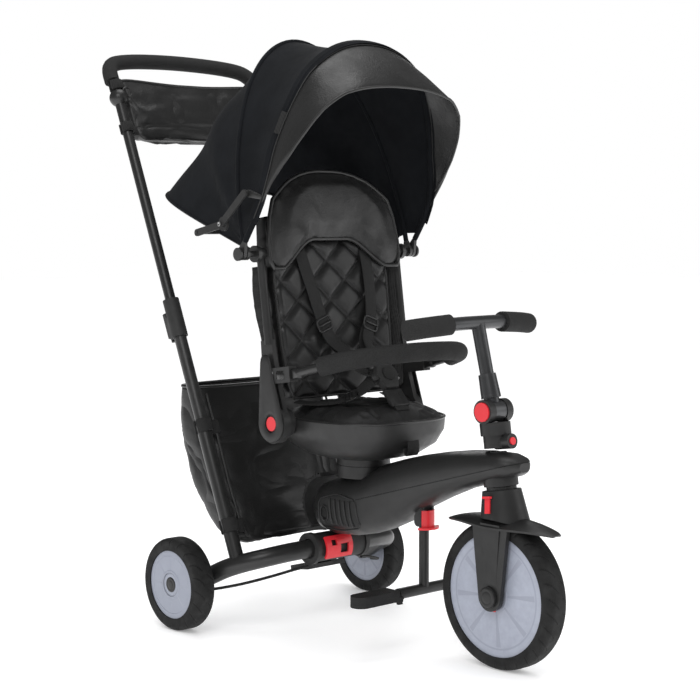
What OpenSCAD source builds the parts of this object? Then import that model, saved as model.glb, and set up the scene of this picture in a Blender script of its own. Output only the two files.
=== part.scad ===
// Folding push trike for a small child: steel rear frame, moulded body, steered front
// wheel, swivelling padded seat, safety bar, folding canopy and telescopic push handle.
// Forward is -Y, up is +Z, the floor is Z = 0. Pieces are drawn from the rear axle line
// and moved by trike(), so the origin lies under the middle of the whole tricycle.

/* [Wheels] */
// Radius of the front tyre
front_r = 118.5; // [116:0.5:119.5]
// Width of the front tyre
front_w = 41; // [38:1:42]
// Radius of the rear tyres
rear_r = 80; // [78:0.5:82]
// Width of each rear tyre
rear_w = 38.6; // [36:0.2:40]
// Distance from the rear axle to the front axle
wheelbase = 548; // [545:1:555]
// Width over the two rear tyres
overall_w = 490; // [488:1:500]

/* [Frame] */
// Outer radius of the bent rear axle tube
axle_tube_r = 16; // [15:0.5:16.5]
// Half the distance between the push tubes
tube_x = 170; // [168:1:172]
// Backward lean of the push tubes in degrees
tube_lean = 22.9; // [22.6:0.1:23.2]
// Outer radius of the lower push tubes
lower_tube_r = 12.5; // [12:0.5:13]
// Outer radius of the middle push tubes
mid_tube_r = 11; // [10.5:0.5:12]
// Outer radius of the sliding upper push tubes
upper_tube_r = 9.5; // [9:0.25:9.5]

/* [Steering] */
// Backward lean of the steering axis in degrees
steer_lean = 8.5; // [8:0.5:9]
// Radius of the steering column
column_r = 14; // [12:0.5:14]
// Half the length of the handlebar
bar_half = 134; // [130:1:145]
// Radius of the handlebar grips
grip_r = 16.5; // [15:0.5:17]

/* [Seat] */
// Half width of the seat shell
seat_w = 130; // [125:1:132]
// Half depth of the seat shell
seat_d = 128; // [124:1:130]
// Backward lean of the backrest in degrees
back_lean = 8; // [7:0.5:9]
// Outer radius of the safety bar foam
foam_r = 16; // [14:0.5:17]

/* [Canopy] */
// Half width of the middle canopy bow
mid_bow_w = 188; // [186:1:189]
// Half width of the front canopy bow
front_bow_w = 196; // [195:1:197]
// Half width of the rear canopy bow
rear_bow_w = 162; // [158:1:163]

/* [Hidden] */
$fn = 48;
black = "#232326";
satin = "#34353a";
rubber = "#2b2b2d";
rim_grey = "#a9acb8";
red = "#c8323a";
steel = "#6f7177";
leather = "#3d3c3f";
cloth = "#34363c";

fit_gap = 0.05;
steer_y = -569;
steer_z = front_r;
knuckle_s = 292;
turn_y = -225;
recline_y = -175;
recline_z = 368;
hub_y = -140;
hub_z = 650;
clamp_y = -150;
clamp_z = 140;
tube_base_y = -88;
tube_base_z = 135;
post_y = -372;
post_z = 212;
handle_back_y = 312;
handle_foam_r = 14;
pin_r = 6;
tube_dir = [0, sin(tube_lean), cos(tube_lean)];
axle_y = (wheelbase + front_r - handle_back_y - handle_foam_r) / 2;

// ---- shared helpers ----

function unit(v) = v / norm(v);
function mix(a, b, t) = a + (b - a) * t;
function sgn(v) = v < 0 ? -1 : 1;
function pw(v, e) = sgn(v) * pow(abs(v), e);
function flip_x(p) = [-p[0], p[1], p[2]];

// Mirrors a half path that runs from the near side to the middle into a whole one
function whole(half) = concat(half, [for (i = [len(half) - 2 : -1 : 0]) flip_x(half[i])]);

// Smooth curve through control points, with a few steps between each pair
function knot(p, i) = p[max(0, min(i, len(p) - 1))];
function spline_at(a, b, c, d, t) =
  0.5 * (2 * b + (c - a) * t + (2 * a - 5 * b + 4 * c - d) * t * t + (3 * b - a - 3 * c + d) * t * t * t);
function smooth(p, steps) = concat(
  [for (i = [0 : len(p) - 2], k = [0 : steps - 1])
    spline_at(knot(p, i - 1), p[i], p[i + 1], knot(p, i + 2), k / steps)],
  [p[len(p) - 1]]);

// Frames carried along a path without twist
function tangents(p) = [for (i = [0 : len(p) - 1]) unit(knot(p, i + 1) - knot(p, i - 1))];
function carry(n, t) = unit(n - (n * t) * t);
function normals(t, n, i = 0) =
  i >= len(t) ? [] : let (m = carry(n, t[i])) concat([m], normals(t, m, i + 1));

// Closed skin over rings of equal length that follow each other
module skin(rings) {
  n = len(rings[0]);
  last = len(rings) - 1;
  polyhedron(
    points = [for (r = rings, p = r) p],
    faces = concat(
      [for (i = [0 : last - 1], k = [0 : n - 1])
        [i * n + k, (i + 1) * n + k, (i + 1) * n + (k + 1) % n, i * n + (k + 1) % n]],
      [[for (k = [0 : n - 1]) k]],
      [[for (k = [n - 1 : -1 : 0]) last * n + k]]));
}

// Round tube of one radius along a path
module sweep(path, r, sides = 16, start = [0, 0.3, 1]) {
  t = tangents(path);
  n = normals(t, start);
  skin([for (i = [0 : len(path) - 1])
    [for (k = [0 : sides - 1])
      let (a = 360 * k / sides)
      path[i] + r * (cos(a) * n[i] + sin(a) * cross(t[i], n[i]))]]);
}

// Rounded-rectangle ring in the XY plane at height z, from yb at the back to yf at the front
function oval(w, yf, yb, z, n, count = 40) =
  [for (k = [0 : count - 1])
    let (a = 360 * k / count)
    [w * pw(cos(a), 2 / n), (yf + yb) / 2 + (yb - yf) / 2 * pw(sin(a), 2 / n), z]];

// The same curve with its points evenly spaced
function run(p) = [for (i = 0, d = 0; i < len(p); d = d + norm(knot(p, i + 1) - p[i]), i = i + 1) d];
function even(p, count) = let (d = run(p), total = d[len(p) - 1])
  [for (k = [0 : count])
    [for (axis = [0 : 2]) lookup(total * k / count, [for (i = [0 : len(p) - 1]) [d[i], p[i][axis]]])]];
function part_of(list, cut) = [for (i = [cut : len(list) - 1 - cut]) list[i]];

// Thin cloth panel between two curves of equal length, thickened towards a point
function two(a, b, c, d) = [[a, b, c], [a, c, d]];
module cloth_panel(a, b, from, to, rows, thick, centre) {
  n = len(a);
  outer = [for (j = [0 : rows], i = [0 : n - 1]) mix(a[i], b[i], mix(from, to, j / rows))];
  inner = [for (p = outer) p + thick * unit(centre - p)];
  in = n * (rows + 1);
  end = rows * n;
  polyhedron(
    points = concat(outer, inner),
    faces = [for (group = concat(
      [for (j = [0 : rows - 1], i = [0 : n - 2]) let (k = j * n + i) two(k, k + 1, k + n + 1, k + n)],
      [for (j = [0 : rows - 1], i = [0 : n - 2])
        let (k = in + j * n + i) two(k + n, k + n + 1, k + 1, k)],
      [for (i = [0 : n - 2]) two(i + 1, i, in + i, in + i + 1)],
      [for (i = [0 : n - 2]) two(end + i, end + i + 1, in + end + i + 1, in + end + i)],
      [for (j = [0 : rows - 1]) let (k = j * n) two(k, k + n, in + k + n, in + k)],
      [for (j = [0 : rows - 1]) let (k = j * n + n - 1) two(k + n, k, in + k, in + k + n)]),
      face = group) face]);
}

module along_x() rotate([0, 90, 0]) children();
module mirrored() {
  children();
  mirror([1, 0, 0]) children();
}
module trike() translate([0, axle_y, 0]) children();
module steer_frame() translate([0, steer_y, steer_z]) rotate([-steer_lean, 0, 0]) children();
module tube_frame(side) translate([side * tube_x, tube_base_y, tube_base_z])
  rotate([-tube_lean, 0, 0]) children();
module back_frame() translate([0, recline_y, recline_z]) rotate([-back_lean, 0, 0]) children();
module ring(r_out, r_in, h) difference() {
  cylinder(r = r_out, h = h);
  translate([0, 0, -1]) cylinder(r = r_in, h = h + 2);
}

// ---- moulded body ----

// Height of the top and the bottom of the body, and its half width, along its length
body_sections = [
  [-132, 222, 192, 22], [-137, 240, 178, 36], [-150, 253, 169, 44], [-178, 264, 164, 47],
  [-229, 273, 168, 48], [-264, 283, 176, 48], [-293, 299, 186, 48], [-340, 313, 207, 47],
  [-376, 322, 232, 46], [-430, 333, 258, 43], [-475, 340, 277, 40], [-520, 344, 291, 37],
  [-560, 344, 304, 35], [-578, 340, 309, 29], [-592, 332, 317, 12]
];
body_wall = 3;
seam_tilt = 15.8;
seam_gap = 0.8;
module body_loft(inset) skin([for (s = body_sections)
  [for (k = [0 : 27])
    let (a = 360 * k / 28, w = max(s[3] - inset, 2), h = max((s[1] - s[2]) / 2 - inset, 2))
    [w * pw(cos(a), 0.78), s[0], (s[1] + s[2]) / 2 + h * pw(sin(a), 0.78)]]]);

module body_shell() difference() {
  body_loft(0);
  intersection() {
    body_loft(body_wall);
    translate([-100, -575, 100]) cube([200, 440, 300]);
  }
  steer_frame() cylinder(r = column_r + fit_gap, h = 300);
  steer_frame() cylinder(r = 31.5, h = crown_top + 3);
  translate([0, clamp_y, clamp_z]) along_x() cylinder(r = 25.4, h = 110, center = true);
  translate([-46, clamp_y, clamp_z]) along_x() cylinder(r = 34, h = 64);
  translate([0, turn_y, 270]) cylinder(r = 47.4, h = 60);
}
module above_seam(shift) translate([0, -179, 215 + shift]) rotate([-seam_tilt, 0, 0])
  translate([-100, -500, 0]) cube([200, 640, 300]);
module body_upper() color(satin) trike() intersection() {
  body_shell();
  above_seam(seam_gap);
}
ear_in = 10.6;
ear_out = 15;
module body_lower() color(black) trike() {
  difference() {
    body_shell();
    above_seam(0);
  }
  steer_frame() translate([0, 0, crown_top + 6]) ring(27.5, column_r + fit_gap, 20);
  for (x = [-ear_out, ear_in])
    translate([x, post_y, post_z]) rotate([90, 0, 90]) linear_extrude(ear_out - ear_in)
    polygon([[-8, 0], [8, 0], [8, 9], [4, 16], [-8, 24]]);
  mirrored() translate([ear_in, post_y, post_z]) along_x() cylinder(r = 8.4, h = ear_out - ear_in);
  translate([0, post_y, post_z]) along_x() cylinder(r = 4, h = 2 * ear_in, center = true);
}

// ---- rear frame ----

axle_half = [
  [-206, 0, 80], [-196, -14, 83], [-188, -40, 94], [-180, -72, 110], [-166, -104, 123],
  [-141, -129, 132], [-104, -144, 138], [-66, -150, 140], [-36, -150, 140], [0, -150, 140]
];
clamp_half = 62;
pin_end = 236;
tube_end = 205.5;
module cylinder_between(r, from, to) translate([0, 0, from]) cylinder(r = r, h = to - from);
module rear_frame() color(black) trike() {
  intersection() {
    sweep(smooth(whole(axle_half), 4), axle_tube_r, 20);
    translate([0, 0, 100]) cube([2 * tube_end, 400, 200], center = true);
  }
  mirrored() translate([204, 0, rear_r]) along_x() cylinder(r = pin_r, h = pin_end - 204);
  for (side = [-1, 1]) tube_frame(side) cylinder_between(lower_tube_r, -14, 234);
}
module axle_clamp() color(black) trike() translate([0, clamp_y, clamp_z]) along_x() difference() {
  union() {
    cylinder(r = 25, h = 2 * clamp_half - 14, center = true);
    for (end = [-1, 1]) translate([0, 0, end * (clamp_half - 6)]) cylinder(r = 27.5, h = 8, center = true);
  }
  cylinder(r = axle_tube_r + 1, h = 2 * clamp_half, center = true);
}

grip_band_in = 49;
grip_band_out = 56;
module rear_grip() color(rubber) trike() translate([-32, 0, 0]) rotate([90, 0, 90])
  translate([-157, 214]) linear_extrude(64) polygon(concat(
    [for (k = [0 : 64])
      let (a = mix(82, -52, k / 64), r = k % 4 < 2 ? grip_band_out : grip_band_out - 2.5)
      [r * cos(a), r * sin(a)]],
    [for (k = [64 : -4 : 0]) let (a = mix(82, -52, k / 64)) [grip_band_in * cos(a), grip_band_in * sin(a)]]));

module turntable_base() color(satin) trike() translate([0, turn_y, 0]) {
  translate([0, 0, 270.5]) cylinder(r = 47, h = 20.5);
  translate([0, 0, 290]) cylinder(r = 15, h = 14.5);
}

mid_from = 234.2;
collar_from = 397;
collar_to = 467;
module push_tubes_mid() color(black) trike() for (side = [-1, 1]) tube_frame(side) difference() {
  cylinder_between(mid_tube_r, mid_from, collar_from + 20);
  cylinder_between(upper_tube_r + fit_gap, mid_from + 10, collar_to);
}
module tube_collars() color(satin) trike() for (side = [-1, 1]) tube_frame(side) difference() {
  union() {
    cylinder_between(14.5, collar_from, collar_to);
    hull() {
      translate([0, 4, collar_from]) cylinder(r = 13, h = 34, $fn = 32);
      translate([0, 19, collar_from + 6]) cylinder(r = 9, h = 44, $fn = 32);
    }
  }
  cylinder_between(mid_tube_r, collar_from - 1, collar_from + 20);
  cylinder_between(upper_tube_r + fit_gap, collar_from, collar_to + 1);
  translate([0, 19, collar_from]) cylinder(r = 5.4, h = 12);
}
module collar_button(side) color(red) trike() tube_frame(side)
  translate([0, 19, collar_from - 2.5]) cylinder(r = 5, h = 9);

// Level sections of the storage bag: height, front edge, back edge, half width
bag_sections = [
  [146, -74, -28, 128], [152, -76, -2, 138], [190, -58, 52, 150], [250, -32, 100, 152],
  [320, -2, 124, 152], [375, 22, 124, 152], [412, 38, 112, 152]
];
bag_wall = 3;
module bag_loft(inset, from) skin([for (s = bag_sections)
  oval(s[3] - inset, s[1] + inset, s[2] - inset, s[0] + (s[0] < 200 ? from : 0), 4, 32)]);
module storage_bag() color(leather) trike() difference() {
  bag_loft(0, 0);
  difference() {
    bag_loft(bag_wall, bag_wall);
    translate([-200, -200, 0]) cube([400, 400, 149]);
  }
  translate([0, 0, 0.5]) intersection() {
    bag_loft(bag_wall, bag_wall);
    translate([-200, -200, 300]) cube([400, 400, 200]);
  }
}

cable_path = [
  [-197, -34, 70], [-188, -56, 74], [-160, -92, 84], [-120, -122, 96], [-84, -142, 106], [-62, -152, 110]
];
module brake_cables() color(rubber) trike() mirrored() sweep(smooth(cable_path, 4), 2.5, 8);

module fold_latch() color(red) trike() translate([-44, clamp_y, clamp_z]) along_x() difference() {
  intersection() {
    ring(31.5, 28, 60);
    rotate([0, 0, 226]) translate([0, 0, -1]) cube([40, 40, 64]);
    rotate([0, 0, 212]) translate([0, 0, -1]) cube([40, 40, 64]);
  }
  rotate([0, 0, 250]) translate([20, -5, 12]) cube([20, 10, 12]);
  rotate([0, 0, 268]) translate([20, -6, 32]) cube([20, 16, 18]);
}
module brake_pedal() color(black) trike() translate([0, clamp_y, clamp_z]) {
  along_x() intersection() {
    translate([0, 0, -44]) ring(32, 28.2, 40);
    translate([-2, -2, -60]) cube([50, 36, 80]);
  }
  translate([-44, 20, -42]) rotate([-8, 0, 0]) cube([88, 46, 7]);
  translate([-44, 8, -38]) cube([40, 20, 8]);
}

// ---- wheels ----

// Half profile of a tyre as radius and width, with round shoulders
function tyre_profile(r_in, r_out, w, round) = concat(
  [[r_in, -w / 2]],
  [for (a = [-90 : 15 : 0]) [r_out - round + round * cos(a), -w / 2 + round + round * sin(a)]],
  [for (a = [0 : 15 : 90]) [r_out - round + round * cos(a), w / 2 - round + round * sin(a)]],
  [[r_in, w / 2]]);
module tyre(r_in, r_out, w, round) along_x()
  rotate_extrude($fn = 96) polygon(tyre_profile(r_in, r_out, w, round));
module wheel_disc(r, w, bore, depth) along_x() difference() {
  union() {
    cylinder(r = r, h = w - 6, center = true);
    translate([0, 0, 3 - w / 2]) cylinder(r = 20, h = w - 4.5);
  }
  translate([0, 0, -w]) cylinder(r = bore, h = w + depth);
}
rear_wheel_x = (overall_w - rear_w) / 2;
rear_rim_r = 59;
front_rim_r = 97.5;
module rear_place(side) trike() translate([side * rear_wheel_x, 0, rear_r]) children();
module rear_tyre(side) color(rubber) rear_place(side) tyre(rear_rim_r, rear_r, rear_w, 9);
module rear_disc(side) color(rim_grey) rear_place(side) mirror([side < 0 ? 1 : 0, 0, 0])
  wheel_disc(rear_rim_r, rear_w, pin_r + fit_gap, 11);
module front_tyre() color(rubber) trike() translate([0, -wheelbase, front_r])
  tyre(front_rim_r, front_r, front_w, 11);
module front_disc() color(rim_grey) trike() translate([0, -wheelbase, front_r])
  wheel_disc(front_rim_r, front_w, 5 + fit_gap, front_w);

// ---- steering ----

leg_in = 24;
leg_out = 32;
crown_top = 168;
module front_centre() translate([0, -wheelbase, front_r]) children();
// Mudguard over the front wheel: flared towards its two tips and narrowing to them
guard_reach = 46;
guard_w = 36;
function guard_ring(a) =
  let (u = abs(a) / (guard_reach + 1), w = guard_w * sqrt(1 - u * u) + 1, r = 127 + 32 * u * u,
    droop = 15 * (1 - u * u) + 1)
  concat(
    [for (k = [-5 : 5]) guard_point(a, w * k / 5, r - droop * k * k / 25)],
    [for (k = [5 : -1 : -5]) guard_point(a, w * k / 5, r - droop * k * k / 25 - 3.6)]);
function guard_point(a, x, r) = [x, -wheelbase - r * sin(a), front_r + r * cos(a)];
leg_end_r = 23;
module fork_leg() front_centre() translate([leg_in, 0, 0]) along_x() {
  hull() {
    cylinder(r = leg_end_r, h = leg_out - leg_in);
    translate([-110, -36, 0]) cube([4, 72, leg_out - leg_in]);
  }
  hull() {
    translate([-30, -6, 0]) cylinder(r = 9, h = leg_out - leg_in, $fn = 24);
    translate([-116, -22, -3]) cube([4, 40, leg_out - leg_in + 5]);
  }
}
module fork() color(satin) trike() {
  difference() {
    steer_frame() translate([0, 0, 108]) cylinder(r1 = 41, r2 = 31, h = crown_top - 108);
    front_centre() along_x() cylinder(r = 124, h = 100, center = true);
  }
  skin([for (a = [guard_reach : -4 : -guard_reach]) guard_ring(a)]);
  mirrored() fork_leg();
  mirrored() front_centre() translate([leg_out, 0, 0]) along_x() cylinder(r = 17, h = 4);
}
module front_axle() color(steel) trike() front_centre() along_x()
  cylinder(r = 5, h = 2 * leg_in, center = true);

collar_s = 234;
module steering_column() color(satin) trike() steer_frame() difference() {
  union() {
    translate([0, 0, crown_top]) cylinder(r = 24, h = 5);
    translate([0, 0, crown_top]) cylinder(r = column_r, h = 60);
    translate([0, 0, collar_s]) cylinder(r = 21, h = 24);
    translate([0, 0, collar_s + 20]) cylinder(r = 24.5, h = 20);
    translate([0, 0, 243]) rotate([90, 0, 0]) cylinder(r = 12, h = 33);
    for (side = [-1, 1]) hull() {
      translate([side * 19.5, 0, knuckle_s]) along_x() cylinder(r = 19, h = 13, center = true, $fn = 32);
      translate([side * 19.6, 0, knuckle_s - 19]) cylinder(r = 6, h = 1, $fn = 32);
    }
    translate([0, 0, knuckle_s]) along_x() cylinder(r = 5, h = 40, center = true);
  }
  translate([0, -28, 243]) rotate([90, 0, 0]) cylinder(r = 6.4, h = 10);
  translate([-30, 0, knuckle_s]) along_x() cylinder(r = 15.4, h = 9);
}
module stem_button() color(red) trike() steer_frame()
  translate([-28.5, 0, knuckle_s]) along_x() cylinder(r = 15, h = 4.2);
module column_button() color(red) trike() steer_frame()
  translate([0, -30.6, 243]) rotate([90, 0, 0]) cylinder(r = 6, h = 4.4);
crown_slope = 9.46;
module clutch_tab() color(red) trike() steer_frame() translate([-34, 0, 148]) rotate([0, crown_slope, 0]) {
  translate([-3, -5, -14]) cube([2.4, 10, 26]);
  translate([-6.6, -8, 9]) cube([6, 16, 3.4]);
}
module wheel_release() color(red) trike() front_centre() translate([-leg_in + 0.4, -5, -24.4]) cube([2.4, 10, 12]);

stem_lean = 6;
stem_len = 141;
module stem_frame() steer_frame() translate([0, 0, knuckle_s]) rotate([-stem_lean, 0, 0]) children();
module stem_hinge() color(satin) trike() stem_frame() difference() {
  union() {
    along_x() cylinder(r = 17.4, h = 25.4, center = true);
    cylinder(r = 12.4, h = 24);
    translate([0, 0, 21]) cylinder(r1 = 16, r2 = 14, h = 38);
  }
  along_x() cylinder(r = 5 + fit_gap, h = 40, center = true);
  translate([0, 0, 29]) cylinder(r = 11 + fit_gap, h = 40);
}
handlebar_half = [[-bar_half, 17.5, -7.4], [-110, 11, -4.5], [-60, 3.5, -1], [-25, 0.5, 0], [0, 0, 0]];
bar_place = [0, -490, 545];
module bar_frame() translate(bar_place) children();
module handlebar_tube() color(steel) trike() {
  bar_frame() sweep(smooth(whole(handlebar_half), 3), 11, 16);
  stem_frame() translate([0, 0, 30]) cylinder(r = 11, h = stem_len - 32);
}
module handlebar_grips() color(rubber) trike() bar_frame() difference() {
  mirrored() sweep(smooth([handlebar_half[0] - [6, -0.8, 0.3], handlebar_half[1], handlebar_half[2]], 4),
    grip_r, 20);
  sweep(smooth(whole(handlebar_half), 3), 11.05, 16);
}

// ---- seat ----

module turntable_top() color(black) trike() translate([0, turn_y, 0]) difference() {
  translate([0, 0, 291.4]) cylinder(r = 46, h = 14.4);
  translate([0, 0, 280]) cylinder(r = 15.06, h = 26.4);
}
// Level sections of the seat shell: height, half width, half depth
shell_sections = [[306, 66, 66], [312, 88, 88], [330, 116, 114], [352, seat_w - 2, seat_d - 2], [374, seat_w, seat_d]];
function shell_ring(s, inset, lift) =
  oval(s[1] - inset, turn_y - s[2] + inset, turn_y + s[2] - inset, s[0] + lift, 2.6, 40);
module seat_shell() color(satin) trike() {
  difference() {
    skin([for (s = shell_sections) shell_ring(s, 0, 0)]);
    skin([for (i = [2 : 4]) shell_ring(shell_sections[i], 6, i == 4 ? 6 : 2)]);
  }
  for (side = [-1, 1]) difference() {
    translate([side * 138, recline_y, recline_z]) along_x() cylinder(r = 24, h = 17, center = true);
    skin([for (i = [1 : 4]) shell_ring(shell_sections[i], 0.2, i == 4 ? 40 : 0)]);
  }
  for (side = [-1, 1]) translate([side * 150, recline_y, recline_z]) along_x()
    cylinder(r = 8, h = 10, center = true);
}
cushion_rings = [[334, 104, 0], [354, 114, 0], [366, 119, 0], [378, 118, 1], [389, 108, 2], [394, 88, 4]];
module seat_cushion() color(leather) trike() skin([for (c = cushion_rings)
  oval(c[1], turn_y - c[1] + c[2], turn_y + c[1] - 8 - c[2], c[0], 2.8, 36)]);
module crotch_strap() color(cloth) trike() hull() {
  translate([-17, -304, 396]) rotate([-38, 0, 0]) cube([34, 4, 12]);
  translate([-17, -284, 425]) rotate([-38, 0, 0]) cube([34, 4, 8]);
}
module buckle_frame() translate([0, -276, 438]) rotate([55, 0, 0]) children();
module buckle() color(black) trike() buckle_frame() difference() {
  hull() {
    translate([0, 6, 0]) cylinder(r = 22, h = 14, $fn = 32);
    translate([-14, -20, 0]) cube([28, 4, 12]);
  }
  translate([0, 4, 8]) cylinder(r = 11.4, h = 10);
}
module buckle_button() color(satin) trike() buckle_frame() translate([0, 4, 11]) cylinder(r = 11, h = 5);

// ---- backrest, in the leaning frame whose origin is the recline pivot ----

arm_in = 147;
arm_out = 162;
hub_l = [156, -4.6, 284.1];
arm_tube_r = 7;
module back_arm() difference() {
  union() {
    translate([arm_in, 0, 0]) along_x() cylinder(r = 33, h = arm_out - arm_in);
    translate([arm_in, 0, 0]) rotate([90, 0, 90]) linear_extrude(9)
      polygon([[-30, 0], [30, 0], [22, 44], [16, 140], [-10, 140], [-18, 64]]);
    translate([hub_l[0], hub_l[1], 132]) cylinder_between(arm_tube_r, 0, hub_l[2] - 132);
    translate(hub_l - [arm_tube_r, 0, 0]) along_x() cylinder(r = 10, h = 2 * arm_tube_r);
    translate([arm_in - 1, -58, 66]) cube([17, 52, 26]);
  }
  translate([arm_in - 1, 0, 0]) along_x() cylinder(r = 8 + fit_gap, h = 9.6);
  translate([arm_out - 6, 0, 0]) along_x() cylinder(r = 12.4, h = 8);
  translate([arm_in + 3, -60, 70]) cube([9, 40, 18]);
}
module back_arms() color(satin) trike() back_frame() mirrored() back_arm();
module recline_button(side) color(red) trike() back_frame()
  translate([side * (arm_out - 0.4), 0, 0]) along_x() cylinder(r = 12, h = 4, center = true);

pad_front = 22;
pad_back = 48;
module backrest_pad() color(leather) trike() back_frame() skin([for (s = [[38, 100, 4], [46, 108, 0],
    [120, 118, 0], [240, 122, 0], [330, 116, 0], [352, 104, 3]])
  oval(s[1], pad_front + s[2], pad_back - s[2], s[0], 5, 32)]);
// Sections of the side wings: height, inner edge, outer edge
wing_sections = [[44, 128, 140], [56, 126, 144], [141, 127, 145.5], [152, 128, 160], [200, 128, 165], [260, 129, 165],
  [265, 132, 160]];
module backrest_wings() color(cloth) trike() back_frame() mirrored() difference() {
  skin([for (s = wing_sections) let (half = (s[2] - s[1]) / 2)
    [for (p = oval(half, -11, 50, s[0], 3.4, 24)) p + [s[1] + half, 0, 0]]]);
  translate([hub_l[0], hub_l[1], 130]) cylinder(r = arm_tube_r + 0.3, h = 150);
}
module headrest() color(leather) trike() back_frame() skin([for (s = [[268, 132, -14, 16], [280, 146, -22, 18],
    [310, 144, -22, 19], [360, 132, -14, 19], [400, 112, -8, 20], [418, 84, -3, 20], [424, 60, 2, 19]])
  oval(s[1], s[2], s[3], s[0], 3.2, 32)]);
strap_path_x = 46;
module shoulder_straps() color(cloth) trike() back_frame() mirrored() hull() {
  translate([strap_path_x, 14, 250]) cube([32, 3, 4]);
  translate([22, -34, 112]) cube([32, 3, 4]);
}

// ---- safety bar ----

bar_half_path = [
  [-154, -211, 450], [-154, -238, 457], [-150, -285, 470], [-134, -320, 480], [-100, -343, 486],
  [-50, -353, 489], [0, -355, 490]
];
module safety_bar() color(black) trike() {
  sweep(smooth(whole([for (i = [1 : 6]) bar_half_path[i]]), 4), 8, 12);
  back_frame() mirrored() translate([arm_in + 3.6, -60, 70.6]) cube([7.8, 38, 16.8]);
  mirrored() hull() {
    translate([153, -238, 456]) sphere(r = 9, $fn = 24);
    back_frame() translate([arm_in + 3.9, -64, 71]) cube([7.2, 8, 16]);
  }
}
module bar_foam() color(rubber) trike() difference() {
  sweep(smooth(whole([for (i = [2 : 6]) bar_half_path[i]]), 4), foam_r, 20);
  sweep(smooth(whole([for (i = [1 : 6]) bar_half_path[i]]), 4), 8.1, 12);
}

// ---- canopy ----

bow_steps = 28;
bow_r = 2.5;
// Arch over the child: half width, side profile from the hub to the crown, and squareness
function profile_at(p, u) =
  let (f = u * (len(p) - 1), i = min(floor(f), len(p) - 2)) mix(p[i], p[i + 1], f - i);
function arch(w, profile, n) = even([for (a = [0 : 2.5 : 180])
  let (q = profile_at(profile, pow(abs(sin(a)), 2 / n))) [-w * pw(cos(a), 2 / n), q[0], q[1]]], bow_steps);
function ray(angle, from, to, count) = [for (i = [0 : count])
  let (r = mix(from, to, i / count)) [hub_y + r * sin(angle), hub_z + r * cos(angle)]];
rear_angle = 71;
mid_angle = 13.3;
rear_arch = arch(rear_bow_w, ray(rear_angle, 13, 338, 12), 5);
mid_arch = arch(mid_bow_w, ray(mid_angle, 20, 377, 12), 2.0);
front_profile = [[-150, 672], [-172, 704], [-190, 740], [-199, 780], [-203, 820], [-212, 860], [-220, 900],
  [-227, 940], [-232, 970], [-234, 1000]];
front_arch = arch(front_bow_w, front_profile, 2.2);
visor_profile = [[-202, 756], [-224, 780], [-250, 810], [-276, 846], [-298, 882], [-312, 908], [-316, 924]];
visor_edge = arch(front_bow_w - 3, visor_profile, 2.3);
cloth_centre = [0, hub_y, 700];
stay_low = [-37, 685];
stay_knee = [-109, 700];
stay_high = [-169, 750];
stay_x = 207;

module hub_place(x) translate([x, hub_y, hub_z]) along_x() children();
module side_place(x, at) translate([x, at[0], at[1]]) along_x() children();
module rear_bow() color(black) trike() {
  sweep(rear_arch, bow_r, 10);
  mirrored() {
    hub_place(163.2) cylinder(r = 14, h = 7);
    hub_place(168) cylinder(r = 5, h = 34.4);
    hub_place(202.2) cylinder(r = 11, h = 3.4);
    side_place(rear_bow_w, stay_low) cylinder(r = 3, h = stay_x + 5 - rear_bow_w);
  }
}
module bow_eye(x, top) difference() {
  hull() {
    hub_place(x - 3) cylinder(r = 10, h = 6, $fn = 32);
    translate([x - 3, top[0] - 2, top[1] - 2]) cube([6, 4, 4]);
  }
  hub_place(x - 5) cylinder(r = 5 + fit_gap, h = 12);
}
module mid_bow() color(black) trike() {
  sweep(mid_arch, bow_r, 10);
  mirrored() bow_eye(mid_bow_w, ray(mid_angle, 20, 20, 1)[0]);
}
module front_bow() color(black) trike() {
  sweep(front_arch, bow_r, 10);
  sweep(visor_edge, 1.5, 8);
  mirrored() {
    bow_eye(front_bow_w, front_profile[0]);
    hull() {
      side_place(front_bow_w - 1, [-190, 744]) cylinder(r = 4, h = 4, $fn = 32);
      side_place(stay_x - 6, stay_high) cylinder(r = 6, h = 5, $fn = 32);
    }
  }
}
module canopy_rear_panel() color(cloth) trike()
  cloth_panel(part_of(rear_arch, 2), part_of(mid_arch, 2), 0.05, 0.95, 6, 1.6, cloth_centre);
module canopy_front_panel() color(cloth) trike()
  cloth_panel(part_of(mid_arch, 2), part_of(front_arch, 2), 0.08, 0.92, 4, 1.6, cloth_centre);
module canopy_visor() color(leather) trike()
  cloth_panel(even(part_of(front_arch, 3), bow_steps), visor_edge, 0.04, 0.98, 4, 1.6, cloth_centre);

link_w = 4;
module link(a, b, x, hole_a) difference() {
  hull() {
    side_place(x, a) cylinder(r = 6, h = link_w, $fn = 32);
    side_place(x, b) cylinder(r = 6, h = link_w, $fn = 32);
  }
  side_place(x - 1, a) cylinder(r = hole_a, h = link_w + 2);
}
module stay_lower() color(black) trike() mirrored() {
  link(stay_low, stay_knee, stay_x, 3 + fit_gap);
  side_place(stay_x, stay_knee) cylinder(r = 12, h = link_w);
  side_place(stay_x, stay_knee) cylinder(r = 3, h = 2 * link_w + 1);
}
module stay_upper() color(black) trike() mirrored() link(stay_knee, stay_high, stay_x + link_w + 0.4, 3 + fit_gap);

// ---- push handle ----

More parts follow.
